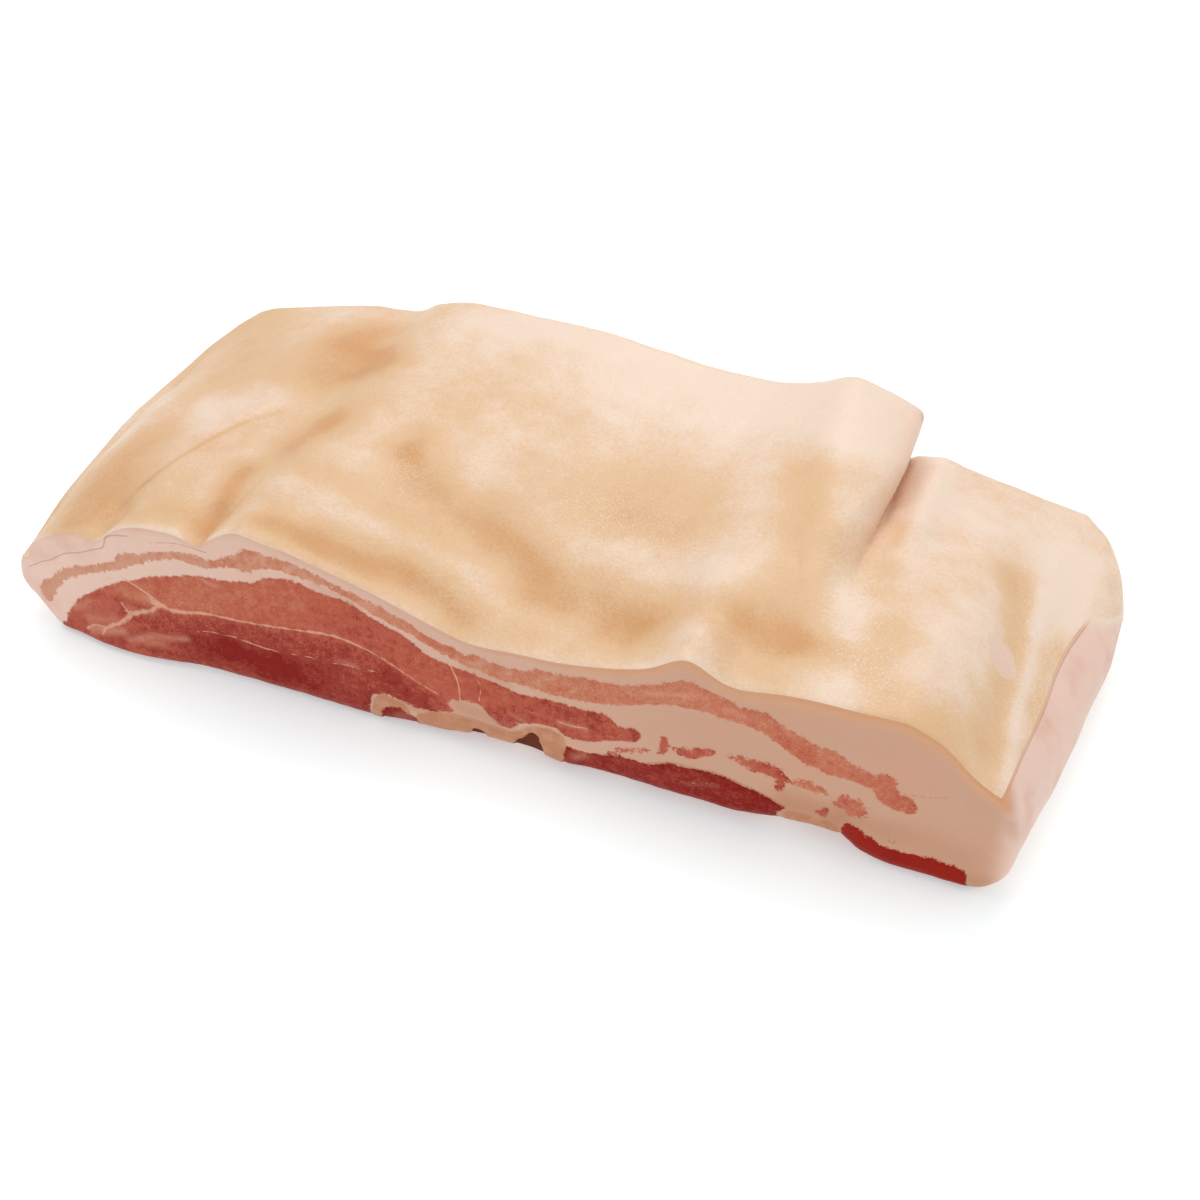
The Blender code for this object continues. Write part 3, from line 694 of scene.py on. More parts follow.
def skin_height(x, y):
    """The skin's height above the table."""
    u, v = along(x), across(y)
    front = front_line(u)
    before = mix(front, back_line(u), (ease(v) + np.clip(v, 0.0, 1.0)) / 2)
    after = mix(front, back_line_past_fold(u), ease((v - LEVEL_PAST_FOLD) / (1 - LEVEL_PAST_FOLD)))
    height = mix(before, after, past_fold(x, v)) * THICKNESS
    height += CROWN * 4 * v * (1 - v) * ease(u / CROWN_RISE) * ease((1 - u) / CROWN_RISE)
    foot = fold_line(v) + FOLD_FOOT
    height -= FOLD_CREASE * fold_strength(v) * bell(x - foot, FOLD_CREASE_HALF_WIDTH)
    return height + sum_on_skin(x, y, SKIN_FORMS) * MM


def underside_height(x, y):
    """The underside's height above the table: it lifts off in an arch along the front cut."""
    from_cut = y + WIDTH / 2
    return arch_line(along(x)) * THICKNESS * (1 - ease(from_cut / ARCH_REACH))


def cut_swell(forms, u, w):
    """How far a long cut stands out at each point."""
    total = np.zeros(np.shape(u))
    for at, height, half_width, half_height, out in forms:
        total += out * bell((u - at) * LENGTH, half_width) * bell(w - height, half_height)
    return total


def rounded(points, half):
    """Points on a box, moved on to the same box with its edges rounded."""
    inner = np.clip(points, EDGE_RADIUS - half, half - EDGE_RADIUS)
    out = points - inner
    length = np.linalg.norm(out, axis=1, keepdims=True)
    return inner + out * (EDGE_RADIUS / np.maximum(length, 1e-9))


def slab_points(points, overhang=FOLD_OVERHANG):
    """Points of the box, bent to the slab's form."""
    u = along(points[:, 0])
    v = across(points[:, 1])
    w = points[:, 2] / THICKNESS + 0.5
    left = left_lean(w) - left_end(v)
    right = right_end(v) - right_lean(w) - right_skin_back(v) * right_skin_lean(w)
    x = mix(left, right, u)
    tuck = ARCH_TUCK * arch_line(along(x)) / ARCH_TOP * (1 - ease(w / ARCH_TUCK_TOP))
    front = cut_lean(w) + tuck - cut_swell(FRONT_CUT_FORMS, along(x), w) - WIDTH / 2
    back = WIDTH / 2 - cut_lean(w) + cut_swell(BACK_CUT_FORMS, along(x), w)
    y = mix(front, back, v)
    z = mix(underside_height(x, y), skin_height(x, y), w)
    share = across(y)
    rise = np.clip((w - FOLD_ROLL_START) / (1 - FOLD_ROLL_START), 0.0, 1.0)
    roll = overhang * fold_strength(share) * rise**2
    roll *= (1 - past_fold(x, share)) * bell(x - fold_line(share), FOLD_ROLL_WIDTH)
    return np.column_stack((x + roll, y, z))


# ---------------------------------------------------------------------------
# Drawing on the cut
# ---------------------------------------------------------------------------


def smooth_path(places, closed=False, steps=5):
    """A Catmull-Rom curve through the places, as points close together."""
    points = np.array(places, float)
    if closed:
        points = np.vstack((points[-1], points, points[0], points[1]))
    else:
        points = np.vstack((2 * points[0] - points[1], points, 2 * points[-1] - points[-2]))
    t = np.linspace(0, 1, steps, endpoint=False)[:, None]
    runs = []
    for a, b, c, d in zip(points, points[1:], points[2:], points[3:]):
        run = 2 * b + (c - a) * t + (2 * a - 5 * b + 4 * c - d) * t**2 + (3 * b - a - 3 * c + d) * t**3
        runs.append(run / 2)
    curve = np.vstack(runs)
    return np.vstack((curve, curve[0] if closed else points[-2]))


def depth_inside(x, z, outline):
    """How deep each point lies inside a closed outline; below zero outside it."""
    nearest = np.full(x.shape, np.inf)
    inside = np.zeros(x.shape, bool)
    curve = smooth_path(outline, closed=True, steps=2)
    for a, b in zip(curve, curve[1:]):
        distance, _ = offset_from_run(x, z, a, b)
        nearest = np.minimum(nearest, distance)
        if a[1] != b[1]:
            crosses = ((a[1] > z) != (b[1] > z)) & (x < (b[0] - a[0]) * (z - a[1]) / (b[1] - a[1]) + a[0])
            inside ^= crosses
    return np.where(inside, nearest, -nearest)


def offset_from_lines(x, z, lines):
    """Signed and plain distance to the nearest line, in half widths of that line."""
    nearest = np.full(x.shape, FAR)
    signed = np.full(x.shape, FAR)
    for first_width, last_width, places in lines:
        curve = smooth_path(places)
        widths = np.linspace(first_width, last_width, len(curve) - 1)
        for a, b, half_width in zip(curve, curve[1:], widths):
            distance, aside = offset_from_run(x, z, a, b)
            closer = distance / half_width < nearest
            nearest = np.where(closer, distance / half_width, nearest)
            signed = np.where(closer, aside / half_width, signed)
    return signed, nearest


def drawn_places(points):
    """Where each point of the cuts and the underside falls on the sheet that the layers are drawn on."""
    x, y, z = points.T
    low = underside_height(x, y)
    share = (z - low) / np.maximum(skin_height(x, y) - low, MM)
    forward = SHEET_Y - y
    front_x = x - forward * sheet_slide(x)
    front_z = z - forward * SHEET_FALL
    inward = ease((y + WIDTH / 2) / LAYER_TURN - LAYER_TURN_WAIT)
    depth = across(y)
    ripple = RIPPLE * np.sin(RIPPLE_TURN * depth + RIPPLE_SLANT * x)
    deep_x = x + LAYER_WANDER * (np.sin(WANDER_TURN * depth + WANDER_START) - WANDER_LEVEL + ripple)
    lift = LIFT * np.sin(LIFT_TURN * depth + LIFT_SLANT * x)
    deep_share = share + lift * share * (1 - share) * 4
    floor = underside_height(deep_x, np.full(x.shape, -WIDTH / 2))
    top = skin_height(deep_x, np.full(x.shape, SHEET_Y))
    deep_z = floor + deep_share * (top - floor) - DEEP_DROP
    return mix(front_x, deep_x, inward) / MM, mix(front_z, deep_z, inward) / MM


def draw_layers(points):
    """Every field that the cut's colours and relief read, as arrays by name, distances in millimetres."""
    x, z = drawn_places(points)
    lean = np.full(x.shape, -FAR)
    redness = np.zeros(x.shape)
    fray = np.zeros(x.shape)
    broad = np.zeros(x.shape, bool)
    for muscle in MUSCLES:
        (left_red, right_red), edge_fray, upper, lower = muscle
        depth = depth_inside(x, z, (*upper, *reversed(lower)))
        share = (x - upper[0][0]) / (upper[-1][0] - upper[0][0])
        deeper = depth > lean
        redness = np.where(deeper, mix(left_red, right_red, np.clip(share, 0.0, 1.0)), redness)
        fray = np.where(deeper, edge_fray, fray)
        broad = np.where(deeper, muscle is BROAD_MUSCLE, broad)
        lean = np.maximum(lean, depth)
    under_seam = ease((middle_seam(x) - z) / UNDER_SEAM_DEPTH + UNDER_SEAM_START)
    under_seam *= ease((UNDER_SEAM_END - x) / UNDER_SEAM_FADE)
    redness += LEAN_REDNESS + UNDER_SEAM_REDNESS * under_seam * broad + sum_of_strokes(x, z, DEEP_PATCHES)
    above_foot = (points[:, 2] - underside_height(points[:, 0], points[:, 1])) / MM
    # Painted shade: the lean darkens towards the table.
    redness += FOOT_SHADE_REDNESS * (1 - ease(above_foot / FOOT_SHADE_HEIGHT))
    seam, seam_near = offset_from_lines(x, z, SEAMS)
    vein_and_shade_line, vein_near = offset_from_lines(x, z, VEINS)
    off_corner = 1 - ease((x - RIGHT_CORNER) / RIGHT_CORNER_FADE)
    # Painted shade: the fat browns towards the right, and is pale again at the lit right corner.
    fat_shade_share = np.clip((x - FAT_SHADE_START) / (FAT_SHADE_FULL - FAT_SHADE_START), 0.0, 1.0)
    return {
        "lean": lean,
        "redness": redness,
        "fray": fray,
        "smear": sum_of_strokes(x, z, SMEARS),
        "membrane": np.max([depth_inside(x, z, outline) for outline in MEMBRANES], axis=0),
        "pocket": np.max([depth_inside(x, z, outline) for outline in POCKETS], axis=0),
        "fat_warmth": fat_shade_share * off_corner,
        "foot_shade_line": (1 - ease((above_foot - FOOT_SHADE_LINE_TOP) / FOOT_SHADE_LINE_FADE)) * off_corner,
        "fat_brown": sum_of_strokes(x, z, BROWN_FAT),
        "seam": seam,
        "seam_near": seam_near,
        "vein_and_shade_line": vein_and_shade_line,
        "vein_near": vein_near,
    }


# ---------------------------------------------------------------------------
# Modelling
# ---------------------------------------------------------------------------


def mesh_values(parts, name, kind=float, size=3):
    """One property of a mesh's vertices, edges or faces, as rows."""
    values = np.empty(len(parts) * size, kind)
    parts.foreach_get(name, values)
    return values.reshape(-1, size)


def select_edges_along(mesh, axis):
    """Selects only the edges that run along one axis."""
    first, last = mesh_values(mesh.edges, "vertices", int, 2).T
    places = mesh_values(mesh.vertices, "co")
    steps = np.abs(places[first] - places[last])
    mesh.vertices.foreach_set("select", np.zeros(len(mesh.vertices), bool))
    mesh.polygons.foreach_set("select", np.zeros(len(mesh.polygons), bool))
    mesh.edges.foreach_set("select", steps.argmax(axis=1) == axis)


def add_block(name, size, steps):
    """A closed block whose sides are all cut into an even lattice."""
    bpy.ops.object.select_all(action="DESELECT")
    bpy.ops.mesh.primitive_cube_add(size=1.0)
    block = bpy.context.object
    block.name = name
    block.data.name = name
    block.scale = size
    bpy.ops.object.transform_apply(location=False, rotation=False, scale=True)
    bpy.context.tool_settings.mesh_select_mode = (False, True, False)
    for axis, parts in steps:
        select_edges_along(block.data, axis)
        bpy.ops.object.mode_set(mode="EDIT")
        bpy.ops.mesh.subdivide(number_cuts=parts - 1)
        bpy.ops.object.mode_set(mode="OBJECT")
    return block


def bunched(x):
    """Draws the lattice's cuts together at the fold."""
    u = along(x)
    t = u - along(FOLD_X)
    u = u - t * FOLD_BUNCHING * bell(t, FOLD_BUNCHING_REACH)
    return (u - 0.5) * LENGTH


def uneven(points, waves):
    """Soft random relief in metres, from waves of (height, width, seed)."""
    total = np.zeros(len(points))
    for height, width, seed in waves:
        shift = Vector((seed, 2.0 * seed, 3.0 * seed))
        total += height * MM * np.array([noise.noise(Vector(p) / (width * MM) + shift) for p in points])
    return total


def set_fields(mesh, fields):
    """Stores arrays by name on the mesh, for the materials to read."""
    for name, values in fields.items():
        field = mesh.attributes.new(name, "FLOAT", "POINT")
        field.data.foreach_set("value", values.astype(np.float32))


def past_wrap(v, w):
    """How far behind the wrapped rind's edge a place on the right end is, as a share of WIDTH."""
    return v - WRAP_START - WRAP_SLANT * (1 - w)


def face_sides(mesh, half):
    """For each face of the block: 0 on the skin, 1 on a cut, 2 on the underside."""
    x, y, z = mesh_values(mesh.polygons, "center").T
    sides = np.where(z > half[2] - NEARLY, 0, np.where(z < NEARLY - half[2], 2, 1))
    wrapped = (x > half[0] - NEARLY) & (past_wrap(across(y), z / THICKNESS + 0.5) > 0)
    return np.where(wrapped, 0, sides)


def skin_relief(places):
    """How far the skin stands out from its plain form."""
    return sum_on_skin(places[:, 0], places[:, 1], SKIN_CREASES) * MM + uneven(places, SKIN_WAVES)


def cut_relief(places, layers, depth, settings):
    """How far the cuts stand out: lean swells between its seams, and pockets open at the foot."""
    lean = layers["lean"]
    relief = settings.lean_swell * ease(lean / LEAN_ROUNDING)
    relief -= settings.seam_depth * bell(layers["seam_near"], SEAM_HALF_WIDTH) * ease(lean / SEAM_START)
    membrane = ease(layers["membrane"] / MEMBRANE_ROUNDING) * (lean < MEMBRANE_OVER_LEAN)
    relief += settings.membrane_height * membrane
    relief -= settings.pocket_depth * ease((layers["pocket"] + POCKET_LIP) / POCKET_WALL)
    return (relief + uneven(places, CUT_WAVES)) * ease(depth / SKIN_EDGE_FADE)


def rind_on_cut(x, y, w, depth):
    """How much the cuts show of the rind's edge, from the depth under the skin, and of its wrapped end."""
    on_front = 1 - ease((y + WIDTH / 2 - FRONT_CORNER) / FRONT_CORNER_FADE)
    to_right = ease((x - RIND_TURN_START) / RIND_TURN)
    at_right_end = ease((x - RIGHT_END_X) / RIGHT_END_FADE) * (1 - on_front)
    elsewhere = mix(RIND_ON_BACK, RIND_ON_RIGHT_END, at_right_end)
    thickness = mix(elsewhere, mix(*RIND_ON_FRONT, to_right), on_front)
    faint = 1 - FAINT_RIND_SHARE * bell(x - FAINT_RIND_X, FAINT_RIND_HALF_WIDTH)
    strength = mix(RIND_STRENGTH, mix(*RIND_STRENGTH_ON_FRONT, to_right) * faint, on_front)
    fade = (depth - RIND_SOLID * thickness) / ((1 - RIND_SOLID) * thickness)
    return {
        "edge_share": strength * (1 - ease(fade)),
        "wrap_share": at_right_end * ease(past_wrap(across(y), w) / WRAP_FADE + 1),
    }


def draw_end_shade_line(x, y, depth, layers):
    """Adds the thin dark line just under the rind at the right end: painted shadow along the rind's cut edge.
    """
    v = across(y)
    here = (x > END_SHADE_LINE_X) & (v > END_SHADE_LINE_START) & (v < WRAP_START) & (y > END_SHADE_LINE_Y)
    side = (depth - END_SHADE_LINE_DEPTH) / END_SHADE_LINE_HALF_WIDTH
    layers["vein_and_shade_line"] = np.where(here, side, layers["vein_and_shade_line"])
    layers["vein_near"] = np.where(here, np.abs(side), layers["vein_near"])


def make_slab(settings):
    """The whole slab, as one closed skin of rind, cuts and underside, with its fields and finishes."""
    size = (LENGTH, WIDTH, THICKNESS)
    half = np.array(size) / 2
    slab = add_block("pork_belly", size, LATTICE_STEPS)
    mesh = slab.data
    sides = face_sides(mesh, half)
    box = mesh_values(mesh.vertices, "co")
    on_skin = box[:, 2] > half[2] - NEARLY
    on_floor = box[:, 2] < NEARLY - half[2]
    box[:, 0] = bunched(box[:, 0])
    places = slab_points(rounded(box, half))
    low, high = places.min(axis=0), places.max(axis=0)
    places -= (low + high) / 2 * (1, 1, 0) + low * (0, 0, 1)
    mesh.vertices.foreach_set("co", places.ravel())
    mesh.update()

    # The layers are drawn on the form without its roll, so that they don't fold under it.
    unrolled = slab_points(rounded(box, half), overhang=0.0)
    x, y, z = unrolled.T
    layers = draw_layers(unrolled)
    depth = np.where(on_skin, 0.0, (skin_height(x, y) - z) / MM)
    draw_end_shade_line(x, y, depth, layers)
    relief = np.where(on_skin, skin_relief(unrolled), cut_relief(unrolled, layers, depth, settings))
    relief = np.where(on_floor, 0.0, relief * ease((z - low[2]) / (FLOOR_FADE * MM)))
    moved = places + mesh_values(mesh.vertices, "normal") * relief[:, None]
    mesh.vertices.foreach_set("co", np.clip(moved, CAD_LOW, CAD_HIGH).ravel())
    mesh.update()

    # The skin's marks: tan stain with painted shade and light, blush with painted crease shade, scuffs and
    # painted glints.
    skin_marks = {"stain": STAINS_AND_SHADING, "blush": BLUSHES_AND_CREASE_SHADE, "scuff": SCUFFS, "glint": PAINTED_GLINTS}
    set_fields(mesh, {name: sum_on_skin(x, y, forms) for name, forms in skin_marks.items()})
    set_fields(mesh, rind_on_cut(x, y, box[:, 2] / THICKNESS + 0.5, depth))
    set_fields(mesh, layers)

    for make_finish in (make_rind, make_cut, make_underside):
        mesh.materials.append(make_finish(settings))
    mesh.polygons.foreach_set("material_index", sides)
    mesh.shade_smooth()
    return slab


# ---------------------------------------------------------------------------
# Materials
# ---------------------------------------------------------------------------


def linear(hex_colour):
    """An sRGB hex colour as linear red, green, blue and alpha."""
    shares = [int(hex_colour[i : i + 2], 16) / 255 for i in (0, 2, 4)]
    return (*[s / 12.92 if s <= 0.04045 else ((s + 0.055) / 1.055) ** 2.4 for s in shares], 1.0)


def add_node(tree, kind, inputs=None, output=0, **settings):
    """Adds one node, sets it up and links it, and returns one of its outputs."""
    node = tree.nodes.new(kind)
    for name, value in settings.items():
        setattr(node, name, value)
    for name, value in (inputs or {}).items():
        if isinstance(value, bpy.types.NodeSocket):
            tree.links.new(value, node.inputs[name])
        else:
            node.inputs[name].default_value = value
    return node.outputs[output] if node.outputs else node


def start_finish(name, fields=(), noises=None):
    """A new material, and what its patterns read: its place, the mesh's fields and noises, by name.

    Each noise is given as the width of its spots in millimetres and its detail.
    """
    material = bpy.data.materials.new(name)
    material.use_nodes = True
    tree = material.node_tree
    tree.nodes.clear()
    read = SimpleNamespace()
    for field in fields:
        setattr(read, field, add_node(tree, "ShaderNodeAttribute", output="Fac", attribute_name=field))
    if noises:
        read.place = add_node(tree, "ShaderNodeTexCoord", output="Object")
        for spots, (width, detail) in noises.items():
            inputs = {"Vector": read.place, "Scale": 1 / (width * MM), "Detail": detail}
            setattr(read, spots, add_node(tree, "ShaderNodeTexNoise", inputs))
    return material, tree, read


def weigh_up(tree, total, *terms):
    """A plain number, and outputs times their weights, added up."""
    for output, weight in terms:
        total = add_node(
            tree, "ShaderNodeMath", {0: output, 1: weight, 2: total}, operation="MULTIPLY_ADD"
        )
    return total


def lay_over(tree, ground, *layers):
    """Colours laid over a ground in turn, as (colour, share) or (colour, value, start, end, most).

    In the second form the share rises softly to the most as the value goes from start to end.
    """
    for colour, share, *rise in layers:
        if rise:
            start, end, most = rise
            share = add_node(tree, "ShaderNodeMapRange", {
                "Value": share, "From Min": start, "From Max": end, "To Max": most,
            }, interpolation_type="SMOOTHSTEP")
        ground = add_node(tree, "ShaderNodeMix", {0: share, 6: ground, 7: colour}, 2, data_type="RGBA")
    return ground


def line_share(tree, side, side_fade, near, near_fade, most):
    """How much a thin line shows: most along its middle, fading to its side and past its end."""
    falls = (
        add_node(tree, "ShaderNodeMapRange", {
            "Value": value, "From Min": start, "From Max": end, "To Min": top, "To Max": 0.0,
        }, interpolation_type="SMOOTHSTEP")
        for value, (start, end), top in ((side, side_fade, most), (near, near_fade, 1.0))
    )
    return add_node(tree, "ShaderNodeMath", dict(enumerate(falls)), operation="MULTIPLY")


def finish_surface(tree, grain, strength, depth, inputs):
    """The lit surface, with fine relief of the given depth in millimetres, and the material's output."""
    normal = add_node(
        tree, "ShaderNodeBump", {"Strength": strength, "Distance": depth * MM, "Height": grain}
    )
    surface = add_node(tree, "ShaderNodeBsdfPrincipled", {"Normal": normal, **inputs})
    add_node(tree, "ShaderNodeOutputMaterial", {"Surface": surface})


def make_rind(settings):
    """Scalded and scraped pig skin: waxy and moist, so light sinks in a little and the pores glint, with
    brighter glints painted on as pale flecks.
    """
    # Pores and flecks are a few tenths of a millimetre wide, and are drawn coarser to show; the flecks also
    # mark where glints are painted on as highlights.
    material, tree, read = start_finish(
        "scraped_pork_rind", ("stain", "blush", "scuff", "glint"),
        {"clouds": (26, 3.0), "blotches": (7.5, 3.0), "grain": (1.2, 2.0), "flecks": (0.52, 1.0)},
    )
    # Tan share: stain with painted shade and, below zero, painted light, over cloudy tone.
    tan_with_shading = weigh_up(
        tree, -0.22, (read.stain, 1.0), (read.clouds, 0.50), (read.blotches, 0.26), (read.grain, 0.32)
    )
    # Painted highlights: pale flecks where the glint strokes lie.
    painted_glint_spots = add_node(
        tree, "ShaderNodeMapRange", {"Value": read.flecks, "From Min": 0.52, "From Max": 0.76},
        interpolation_type="SMOOTHSTEP",
    )
    painted_glint_share = add_node(tree, "ShaderNodeMath", {0: painted_glint_spots, 1: read.glint}, operation="MULTIPLY")
    skin = lay_over(
        tree, settings.rind_pale,
        (settings.rind_mid, tan_with_shading, 0.05, 0.55, 1.0),
        (settings.rind_tan, tan_with_shading, 0.50, 1.15, 1.0),
        # Blush: pink, and painted shade along the fold's crease and the left wrinkle.
        (settings.rind_blush_and_crease_shade, read.blush),
        (settings.rind_scuff, read.scuff, 0.35, 0.60, 0.9),
        (settings.rind_painted_glint, painted_glint_share),
    )
    pores = add_node(
        tree, "ShaderNodeTexVoronoi", {"Vector": read.place, "Scale": 1 / (1.6 * MM)}, feature="SMOOTH_F1"
    )
    grain = weigh_up(tree, 0.0, (pores, 0.7), (read.grain, 1.0), (read.flecks, 0.6), (read.blotches, 2.2))
    roughness = add_node(tree, "ShaderNodeMapRange", {
        "Value": read.clouds, "From Min": 0.3, "From Max": 0.7, "To Min": 0.34, "To Max": 0.48,
    }, interpolation_type="SMOOTHSTEP")
    finish_surface(tree, grain, 0.6, 0.22, {
        "Base Color": skin, "Roughness": roughness, "IOR": 1.45, "Subsurface Weight": 0.22,
        "Subsurface Radius": (1.0, 0.55, 0.32), "Subsurface Scale": 3.0 * MM,
    })
    return material


def make_cut(settings):
    """Knife-cut belly: fat like firm wax and wet lean with a fine grain, seamed with white tissue."""
    # Muscle fibres cut across are about 0.1 mm wide, and are drawn as coarser speckle to show.
    material, tree, read = start_finish(
        "cut_fat_and_lean",
        ("lean", "redness", "fray", "smear", "membrane", "pocket", "fat_warmth", "fat_brown", "foot_shade_line",
         "seam", "seam_near", "vein_and_shade_line", "vein_near", "edge_share", "wrap_share"),
        {"clouds": (13, 2.0), "mottle": (4.0, 3.0), "ragged": (2.0, 4.0), "speckle": (0.80, 2.5)},
    )

    # Lean, from the pale stripe under the rind to the dark muscle at the foot.
    redness = weigh_up(
        tree, -0.86, (read.redness, 1.0), (read.mottle, 0.44), (read.clouds, 0.20), (read.speckle, 0.72),
        (read.ragged, 0.36),
    )
    grainy = weigh_up(tree, 0.06, (read.speckle, 1.0), (read.redness, -0.30))
    lean = lay_over(
        tree, settings.lean_pale,
        (settings.lean_pink, redness, -0.05, 0.22, 1.0),
        (settings.lean_red, redness, 0.22, 0.50, 1.0),
        (settings.lean_deep, redness, 0.50, 0.76, 1.0),
        (settings.lean_dark, redness, 0.76, 1.00, 1.0),
        (settings.lean_blood, redness, 1.20, 1.42, 1.0),
        (settings.marbling, grainy, 0.44, 0.68, 0.46),
    )

    # Fat, pale at the left end and creamier brown towards the right, where the brown is painted shade.
    fat = lay_over(
        tree, settings.fat_pale,
        (settings.fat_warm_and_shaded, read.fat_warmth),
        (settings.fat_pink, read.clouds, 0.45, 0.75, 0.35),
        (settings.fat_brown, read.fat_brown),
    )

    # The lean's edge is frayed by the noises, more where its muscle's fray is more.
    fray_noise = weigh_up(tree, -0.9, (read.ragged, 1.0), (read.speckle, 0.8))
    fray_reach = weigh_up(tree, 1.5, (read.fray, 2.6))
    lean_here = add_node(tree, "ShaderNodeMapRange", {
        "Value": weigh_up(tree, read.lean, (fray_noise, fray_reach)), "From Min": -0.35, "From Max": 0.40,
    }, interpolation_type="SMOOTHSTEP")

    seam_side = add_node(tree, "ShaderNodeMath", {0: read.seam}, operation="ABSOLUTE")
    seam_side = weigh_up(tree, -1.8, (seam_side, 1.0), (read.ragged, 2.4), (read.speckle, 1.2))
    seam_here = line_share(tree, seam_side, (0.1, 1.5), read.seam_near, (1.2, 2.6), 0.80)
    dark_line_side = add_node(tree, "ShaderNodeMath", {0: read.vein_and_shade_line}, operation="ABSOLUTE")
    dark_line_here = line_share(tree, dark_line_side, (0.4, 2.0), read.vein_near, (2.5, 5.0), 0.45)

    membrane_depth = weigh_up(tree, -0.8, (read.membrane, 1.0), (read.ragged, 1.6))
    membrane = lay_over(tree, settings.membrane, (settings.fat_pink, read.mottle, 0.42, 0.68, 0.5))
    smear_share = weigh_up(tree, -0.7, (read.ragged, 2.2), (read.speckle, 1.2))
    smear_here = add_node(
        tree, "ShaderNodeMath", {0: read.smear, 1: smear_share}, operation="MULTIPLY", use_clamp=True
    )
    flesh = lay_over(
        tree, fat,
        (membrane, membrane_depth, -0.6, 0.7, 0.9),
        (lean, lean_here),
        (settings.marbling, smear_here),
        (settings.seam, seam_here),
        (settings.vein_and_shade_line, dark_line_here),
        (settings.pocket, read.pocket, -0.4, 0.5, 1.0),
        # Painted shade along the foot, where the cut meets the table.
        (settings.foot_shade_line, read.foot_shade_line, 0.0, 1.0, 0.75),
        (settings.rind_edge, read.edge_share),
        (settings.rind_pale, read.wrap_share),
    )

    grain = weigh_up(tree, 0.0, (read.speckle, 1.0), (read.ragged, 0.8), (read.mottle, 0.8))
    roughness = add_node(tree, "ShaderNodeMapRange", {
        "Value": lean_here, "From Min": 0.0, "From Max": 1.0, "To Min": 0.50, "To Max": 0.42,
    }, interpolation_type="SMOOTHSTEP")
    finish_surface(tree, grain, 0.5, 0.25, {
        "Base Color": flesh, "Roughness": roughness, "IOR": 1.40, "Specular IOR Level": 0.13,
        "Subsurface Weight": 0.12, "Subsurface Radius": (1.0, 0.40, 0.25), "Subsurface Scale": 1.2 * MM,
    })
    return material


def make_underside(settings):
    """The belly's lean side: dark wet muscle under torn patches of silvery membrane and fat."""
    material, tree, read = start_finish(
        "lean_side_with_silverskin", (), {"patches": (34, 5.0), "mottle": (6.0, 4.0), "speckle": (1.0, 1.5)}
    )
    # The fibres run along the slab, so their noise is drawn out that way.
    drawn_out = add_node(tree, "ShaderNodeMapping", {"Vector": read.place, "Scale": (0.30, 1.0, 1.0)})
    fibres = add_node(
        tree, "ShaderNodeTexNoise", {"Vector": drawn_out, "Scale": 1 / (1.8 * MM), "Detail": 5.0}
    )
    film = weigh_up(tree, -0.12, (read.patches, 1.0), (fibres, 0.10), (read.mottle, 0.14))
    flesh = lay_over(
        tree, settings.lean_deep,
        (settings.lean_red, fibres, 0.36, 0.66, 1.0),
        (settings.lean_dark, read.mottle, 0.46, 0.68, 0.5),
        (settings.marbling, read.speckle, 0.56, 0.70, 0.35),
        (settings.membrane, film, 0.50, 0.58, 0.55),
        (settings.fat_warm_and_shaded, film, 0.59, 0.64, 1.0),
    )
    grain = weigh_up(tree, 0.0, (fibres, 1.0), (read.mottle, 1.6))
    finish_surface(tree, grain, 0.6, 0.5, {
        "Base Color": flesh, "Roughness": 0.34, "IOR": 1.40, "Subsurface Weight": 0.15,
        "Subsurface Radius": (1.0, 0.40, 0.25), "Subsurface Scale": 1.5 * MM,
    })
    return material


def make_card_finish(settings):
    """Opal acrylic lit a little from below, as food is shown on: it leaves only a soft shadow."""
    material, tree, _ = start_finish("opal_acrylic_light_table")
    surface = add_node(tree, "ShaderNodeBsdfPrincipled", {
        "Base Color": settings.card, "Roughness": 0.9, "Specular IOR Level": 0.0,
        "Emission Color": settings.card, "Emission Strength": settings.card_glow,
    })
    add_node(tree, "ShaderNodeOutputMaterial", {"Surface": surface})
    return material


# ---------------------------------------------------------------------------
# Studio
# ---------------------------------------------------------------------------

EYE = Vector((0.1730, -0.4196, 0.4078))
AIM = Vector((0.0058, 0.0048, 0.0))
LENS_MM = 54.0
SENSOR_MM = 36.0
NEAREST_SEEN = 0.01
CARD_SIZE = 12.0
CARD_DROP = 0.0001  # the card lies this far below the slab, so that their faces don't fight


def add_area_light(name, place, size, power, colour):
    """A soft rectangular light that points at the slab."""
    light = bpy.data.lights.new(name, "AREA")
    light.shape = "RECTANGLE"
    light.size, light.size_y = size
    light.energy = power
    light.color = linear(colour)[:3]
    lamp = bpy.data.objects.new(name, light)
    lamp.location = place
    lamp.rotation_euler = (-Vector(place)).to_track_quat("-Z", "Y").to_euler()
    bpy.context.scene.collection.objects.link(lamp)


